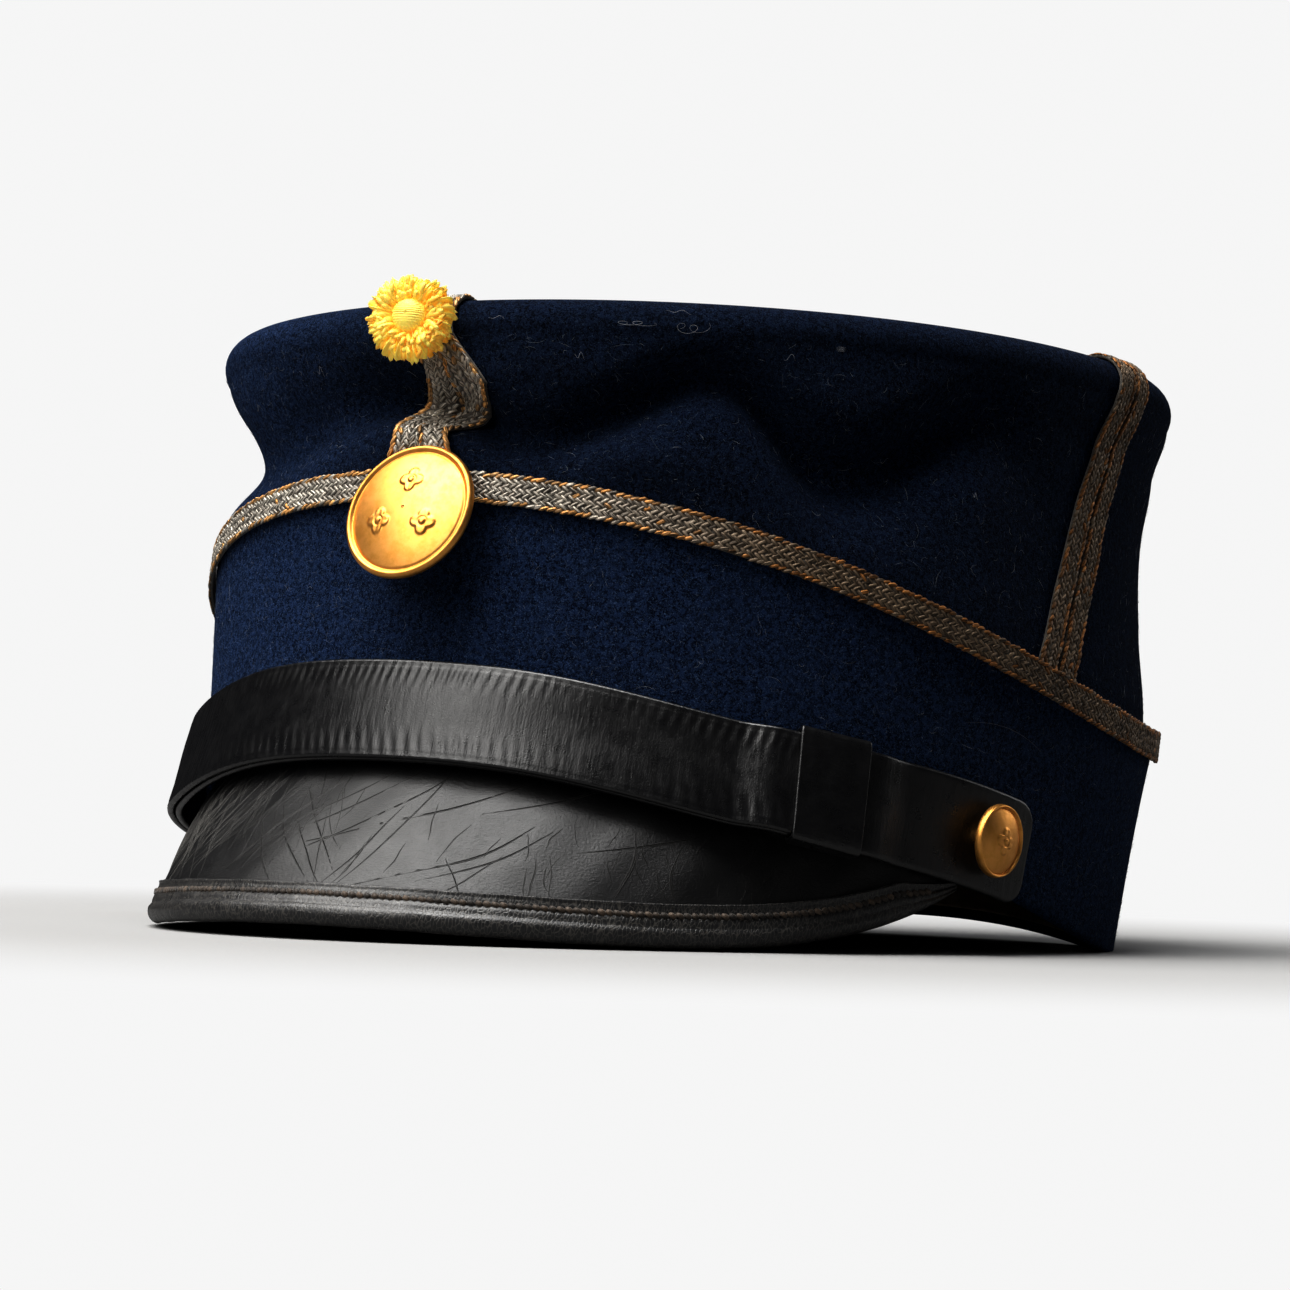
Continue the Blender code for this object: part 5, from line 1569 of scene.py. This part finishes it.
def build_buttons(brass):
    """The large button over the loop's end and a small one at each end of the strap."""
    lean = math.radians(FRONT_BUTTON_LEAN)
    clear = CLEARANCE + FRONT_STEM_RADIUS * math.sin(lean)
    stem = FRONT_BUTTON_STANDOFF - clear
    axis = outward(EMBLEM_ANGLE) * math.cos(lean) + UP * math.sin(lean)
    foot = band_point(EMBLEM_ANGLE, 1.0, clear) - UP * FRONT_BUTTON_DROP
    turns = np.radians(90.0 + 120.0 * np.arange(3))
    spread = FRONT_FLOWER_SPREAD * FRONT_BUTTON_RADIUS
    places = np.stack([spread * np.cos(turns), spread * np.sin(turns)], -1)
    flowers = (places, FRONT_FLOWER_SIZE * FRONT_BUTTON_RADIUS)
    form = (FRONT_BUTTON_RADIUS, FRONT_BUTTON_DOME, FRONT_STEM_RADIUS, 160)
    build_button("front_button", form, stem, flowers, foot + axis * stem, axis, brass)
    flowers = ([(0.0, 0.0)], SIDE_FLOWER_SIZE * SIDE_BUTTON_RADIUS)
    form = (SIDE_BUTTON_RADIUS, SIDE_BUTTON_DOME, SIDE_STEM_RADIUS, 96)
    middle = 0.5 * STRAP_WIDTH
    for name, side in (("side_button_left", 1.0), ("side_button_right", -1.0)):
        angle = side * SIDE_BUTTON_ANGLE
        foot = strap_point(angle, middle, strap_stand(angle) + STRAP_WALL + 2.0 * CLEARANCE)
        aside = angle + side * SIDE_BUTTON_TURN
        axis = unit(strap_point(aside, middle, STRAP_WALL) - strap_point(aside, middle, 0.0))
        foot = foot + axis * SIDE_BUTTON_STANDOFF
        build_button(name, form, SIDE_BUTTON_STANDOFF, flowers, foot, axis, brass)


def cockade_place(points):
    """Carry points of the cockade's own frame to its place on the rolled edge."""
    back = 0.45 * COCKADE_RADIUS * math.sin(math.radians(COCKADE_TURN))
    widest = ROLL_LEAD / (ROLL_LEAD + ROLL_TURN)
    foot = roll_point(EMBLEM_ANGLE, widest, 2.0 * CLEARANCE + BRAID_WALL + back)
    return aimed(points, foot, outward(EMBLEM_ANGLE + COCKADE_TURN))


def flatten(height):
    """The cockade's upper half is pressed down."""
    return np.where(height > 0.0, COCKADE_PRESSED * height, height)


def build_ruff(silk):
    """The cockade's cap and ruff: a profile turned round, with its pleats as sums of sines."""
    turn = np.linspace(0.0, 2.0 * math.pi, 360, endpoint=False)[:, None]
    steps = np.linspace(0.0, 1.0, 4 * len(COCKADE_TABLE))
    old = np.linspace(0.0, 1.0, len(COCKADE_TABLE))
    radius, height, pleat, ragged = (
        np.interp(steps, old, column)[None, :] for column in COCKADE_TABLE.T
    )
    folds = np.sin(25.0 * turn + 1.3 * np.sin(5.0 * turn) + 1.5 * radius)
    small = np.sin(61.0 * turn + 3.0 * np.sin(7.0 * turn) + 5.0 * radius)
    uneven = 0.5 * np.sin(3.0 * turn + 0.6) + 0.3 * np.sin(8.0 * turn)
    uneven = uneven + 0.2 * np.sin(13.0 * turn + 2.0)
    reach = 1.0 + 0.10 * ragged * (folds + 0.5 * small) + 0.10 * ragged * uneven
    reach = COCKADE_RADIUS * radius * reach
    lift = height + pleat * 0.42 * folds + pleat * 0.22 * small + 0.10 * ragged * uneven
    lift = np.maximum(COCKADE_DOME * lift, 0.0)
    threads = 0.00007 * np.sin(reach * np.sin(turn) * 2.0 * math.pi / THREAD_PITCH)
    lift = lift + np.where(radius < 0.38, threads, 0.0)
    points = vector(reach * np.cos(turn), flatten(reach * np.sin(turn)), lift)
    # Painted shade: the troughs of the pleats and the groove round the dome are tinted darker
    # orange.
    trough_shade = np.clip(0.5 - 0.5 * (folds * pleat / 0.3 + 0.4 * small * pleat / 0.3), 0.0, 1.0)
    groove = 0.35 * np.exp(-((radius - 0.42) / 0.02) ** 2)
    trough_shade = np.clip(trough_shade * (radius > 0.40) + groove, 0.0, 1.0)
    tint = BRIGHT_SILK + (DEEP_SILK - BRIGHT_SILK) * (0.8 * trough_shade[..., None])
    tint = np.concatenate([tint.reshape(-1, 3), [BRIGHT_SILK, DEEP_SILK]])
    poles = [(0.0, 0.0, COCKADE_DOME), (0.0, 0.0, 0.0)]
    world = place(cockade_place(np.concatenate([points.reshape(-1, 3), poles])))
    groups = turned_faces(*points.shape[:2])
    make_piece("cockade_silk", world, groups, silk, ("cockade",), tint=tint)


def build_tufts(silk):
    """Thick threads that lie outwards over the pleats, then a loose knot at the lower right."""
    rng = np.random.default_rng(17)
    count, loose = TUFT_COUNT, LOOSE_COUNT
    around = [rng.uniform(0.0, 2.0 * math.pi, count), rng.normal(-0.55, 0.26, loose)]
    far = [rng.uniform(0.44, 0.97, count), rng.uniform(0.70, 1.04, loose)]
    around, far = np.concatenate(around), np.concatenate(far)
    count += loose
    level = np.interp(far, *TUFT_LEVELS.T) + rng.normal(0.0, 0.07, count)
    middle = COCKADE_RADIUS * vector(far * np.cos(around), flatten(far * np.sin(around)), 0.0)
    middle[:, 2] = COCKADE_DOME * level
    tip = np.radians(np.interp(far, *TUFT_TILTS.T) + rng.normal(0.0, 9.0, count))
    aside = around + rng.normal(0.0, 0.30, count)
    aside[-loose:] += rng.uniform(-1.6, 1.6, loose)
    first = vector(np.cos(aside) * np.cos(tip), np.sin(aside) * np.cos(tip), np.sin(tip))
    second = unit(np.cross(UP, first))
    axes = np.stack([first, second, np.cross(first, second)], 1)
    sizes = np.stack([rng.uniform(*pair, count) for pair in TUFT_SIZES], -1)
    sizes[-loose:, 0] *= 0.62
    tones = BRIGHT_SILK + (DEEP_SILK - BRIGHT_SILK) * rng.random((count, 1)) ** 2.0
    tones[-loose:] *= (0.86, 0.72, 0.55)
    turned = place(cockade_place(axes.reshape(-1, 3))) - place(cockade_place(np.zeros((1, 3))))
    middle = place(cockade_place(middle))
    turned = turned.reshape(-1, 3, 3)
    scatter("cockade_tufts", middle, turned, sizes, tones, silk, 4, 6, 0.8)


def strands_of_hair(name, lines, thickness, tones, finish):
    """Thin closed tubes along rows of points: three sides, tapered to both ends."""
    count, steps = lines.shape[:2]
    ahead = unit(np.gradient(lines, axis=1))
    helper = np.where(np.abs(ahead[..., 2:]) > 0.9, (1.0, 0.0, 0.0), UP)
    side = unit(np.cross(ahead, helper))
    up = np.cross(side, ahead)
    turn = np.radians((90.0, 210.0, 330.0))[:, None]
    taper = (0.35 + 0.65 * np.sin(math.pi * np.linspace(0.0, 1.0, steps)))[None, :, None, None]
    ring = side[:, :, None] * np.cos(turn) + up[:, :, None] * np.sin(turn)
    points = lines[:, :, None] + ring * taper * thickness[:, None, None, None] / 2.0
    body = grid_faces(steps, 3, False, True)
    last = (steps - 1) * 3
    ends = np.array(((2, 1, 0), (last, last + 1, last + 2)))
    groups = copies((body, ends), count, steps * 3)
    tint = np.repeat(tones[:, None], steps * 3, 1)
    make_piece(name, place(points), groups, finish, tint=tint)


def build_lint(finish):
    """Short pale fibres that lie on the cloth, more of them on the crown."""
    rng = np.random.default_rng(3)
    steps = np.linspace(-1.0, 1.0, 5)[None, :]
    for name, count, rows in LINT_TABLE:
        angle = rng.uniform(-180.0, 180.0, count)
        row = rng.uniform(*rows, count)
        length = rng.gamma(2.0, LINT_LENGTH / 2.0, count).clip(*LINT_RANGE)
        lean = rng.uniform(0.0, math.pi, count)
        curl = rng.normal(0.0, 0.5, count)[:, None]
        sideways = curl * (steps ** 2 - 0.4)
        cos, sin = np.cos(lean)[:, None], np.sin(lean)[:, None]
        across = (steps * cos - sideways * sin) * length[:, None]
        up = (steps * sin + sideways * cos) * length[:, None]
        turn = angle[:, None] + np.degrees(across / BAND_HALF_WIDTH)
        height = np.clip(row[:, None] + up / WALL_RISE, 0.02, 1.0)
        lift = 0.00006 + 0.00010 * rng.random((count, 1)) * (steps + 1.0)
        if name == "crown_lint":
            lines = crown_point(turn, height, lift, 1.0)
        else:
            lines = band_point(turn, height, lift)
        pale = rng.random((count, 1)) ** 3.0
        tones = LINT_TONE + pale * LINT_PALER
        strands_of_hair(name, lines, rng.uniform(*LINT_THICKNESS, count), tones, finish)


def crown_skin(angle, climb, out):
    """The crown's outer face: up the wall for a climb of 0 to 1, over the roll for 1 to 2."""
    wall = crown_point(angle, np.minimum(climb, 1.0), out, 1.0)
    over = roll_point(angle, np.clip(climb - 1.0, 0.0, 1.0), out)
    return np.where((climb <= 1.0)[..., None], wall, over)


def build_hairs(finish):
    """Long curled hairs: a run along the cap with circles added, on the crown and on the band."""
    t = np.linspace(-1.0, 1.0, 41)[None, :]
    angle, climb, half, rise, turns, bow = (column[:, None] for column in np.array(HAIR_TABLE).T)
    phase = 2.0 * math.pi * turns * t
    along = half * (0.75 * t + 0.35 * np.cos(phase) * (turns > 0.9))
    up = rise * (np.sin(phase) + bow * (1.0 - 2.0 * t ** 2))
    angle = angle + np.degrees(along / BAND_HALF_WIDTH)
    lines = crown_skin(angle, climb + up / WALL_RISE, 0.00022 + 0.0 * t)
    bent = band_point(77.0 + 6.6 * t, 0.66 + 0.05 * (1.0 - t ** 2) + 0.03 * t, 0.0002)
    lines = np.concatenate([lines, bent])
    tones = np.tile(HAIR_TONE, (len(lines), 1))
    tones[-1] = DIM_HAIR_TONE
    strands_of_hair("long_hairs", lines, np.full(len(lines), HAIR_THICKNESS), tones, finish)


def build_stage():
    """A plain pale floor.

    Near the cap it is matt and takes the cap's shadow. Farther off it glows as brightly as the
    backdrop, so that no horizon shows. It throws little light back up.
    """
    bpy.ops.mesh.primitive_circle_add(vertices=96, radius=8.0, fill_type="NGON")
    floor = bpy.context.active_object
    floor.name = "floor"
    made = Finish("pale_floor", FLOOR_TONE, 1.0, Specular_IOR_Level=0.0)
    path = made.node("LightPath").outputs["Is Camera Ray"]
    made.give(Base_Color=made.blend(path, FLOOR_RETURN, FLOOR_TONE))
    where = made.node("TexCoord").outputs["Object"]
    away = made.node("VectorMath", {"operation": "LENGTH"}, _0=where).outputs["Value"]
    far = made.fit(away, *FLOOR_FADE)
    glow = made.node("Emission", Color=BACKDROP)
    seen = made.sum(far, path, "MULTIPLY")
    mix = made.node("MixShader", _0=seen, _1=made.shader.outputs[0], _2=glow.outputs[0])
    made.tree.links.new(mix.outputs[0], made.tree.nodes["Material Output"].inputs["Surface"])
    floor.data.materials.append(made.material)


def soft_light(name, azimuth, elevation, distance, size, power, colour):
    """A soft light that faces the cap, placed by its angle from the camera's side."""
    a = math.radians(CAMERA_AZIMUTH + azimuth)
    e = math.radians(elevation)
    away = Vector((math.sin(a) * math.cos(e), -math.cos(a) * math.cos(e), math.sin(e)))
    data = bpy.data.lights.new(name, "AREA")
    data.shape = "RECTANGLE"
    data.size, data.size_y = size
    data.energy = power
    data.color = colour
    light = bpy.data.objects.new(name, data)
    light.location = Vector(LIGHT_AIM) + away * distance
    light.rotation_euler = away.to_track_quat("Z", "Y").to_euler()
    bpy.context.scene.collection.objects.link(light)


def build_camera():
    """The photograph's view: low, from the wearer's left front, with a long lens."""
    data = bpy.data.cameras.new("camera")
    data.sensor_width = 36.0
    data.lens = CAMERA_LENS
    camera = bpy.data.objects.new("camera", data)
    camera.location = CAMERA_PLACE
    camera.rotation_euler = [math.radians(turn) for turn in CAMERA_TURN]
    bpy.context.scene.collection.objects.link(camera)
    bpy.context.scene.camera = camera


def build_light():
    """A large soft key high at the left, four weak lights, and a surround that is only seen."""
    for light in LIGHTS:
        soft_light(*light)
    world = bpy.data.worlds.new("surround")
    world.use_nodes = True
    nodes, links = world.node_tree.nodes, world.node_tree.links
    seen = nodes["Background"]
    seen.inputs["Color"].default_value = BACKDROP
    dim = nodes.new("ShaderNodeBackground")
    dim.inputs["Color"].default_value = SURROUND_TONE
    path = nodes.new("ShaderNodeLightPath")
    mix = nodes.new("ShaderNodeMixShader")
    links.new(path.outputs["Is Camera Ray"], mix.inputs[0])
    links.new(dim.outputs[0], mix.inputs[1])
    links.new(seen.outputs[0], mix.inputs[2])
    links.new(mix.outputs[0], nodes["World Output"].inputs["Surface"])
    bpy.context.scene.world = world
    view = bpy.context.scene.view_settings
    view.view_transform = "Standard"
    view.gamma = VIEW_GAMMA


def main():
    """Dress the frame's nodes, piece by piece, then set the stage."""
    # One cloth at three tones: the crown's and the top's felts are darker than the band's, painted
    # shade.
    build_band(felted_cloth("band_felt", 1.15, 0.75))
    build_crown(felted_cloth("crown_felt", 0.90, 0.43))
    build_top(felted_cloth("top_felt", 0.62))
    build_sweatband(plain_leather())
    build_braids((plaited_thread(), tinted("braid_core", 0.8)))
    patent = patent_leather()
    build_peak(patent)
    build_cracks(cracked_leather())
    build_binding(binding_leather(), tinted("waxed_thread", 0.6))
    strap = strap_leather()
    build_straps(strap)
    build_keeper(strap)
    build_buttons(gilt())
    silk = silk_thread()
    build_ruff(silk)
    build_tufts(silk)
    lint = tinted("lint", 0.9)
    build_lint(lint)
    build_hairs(lint)
    build_stage()
    build_camera()
    build_light()


main()
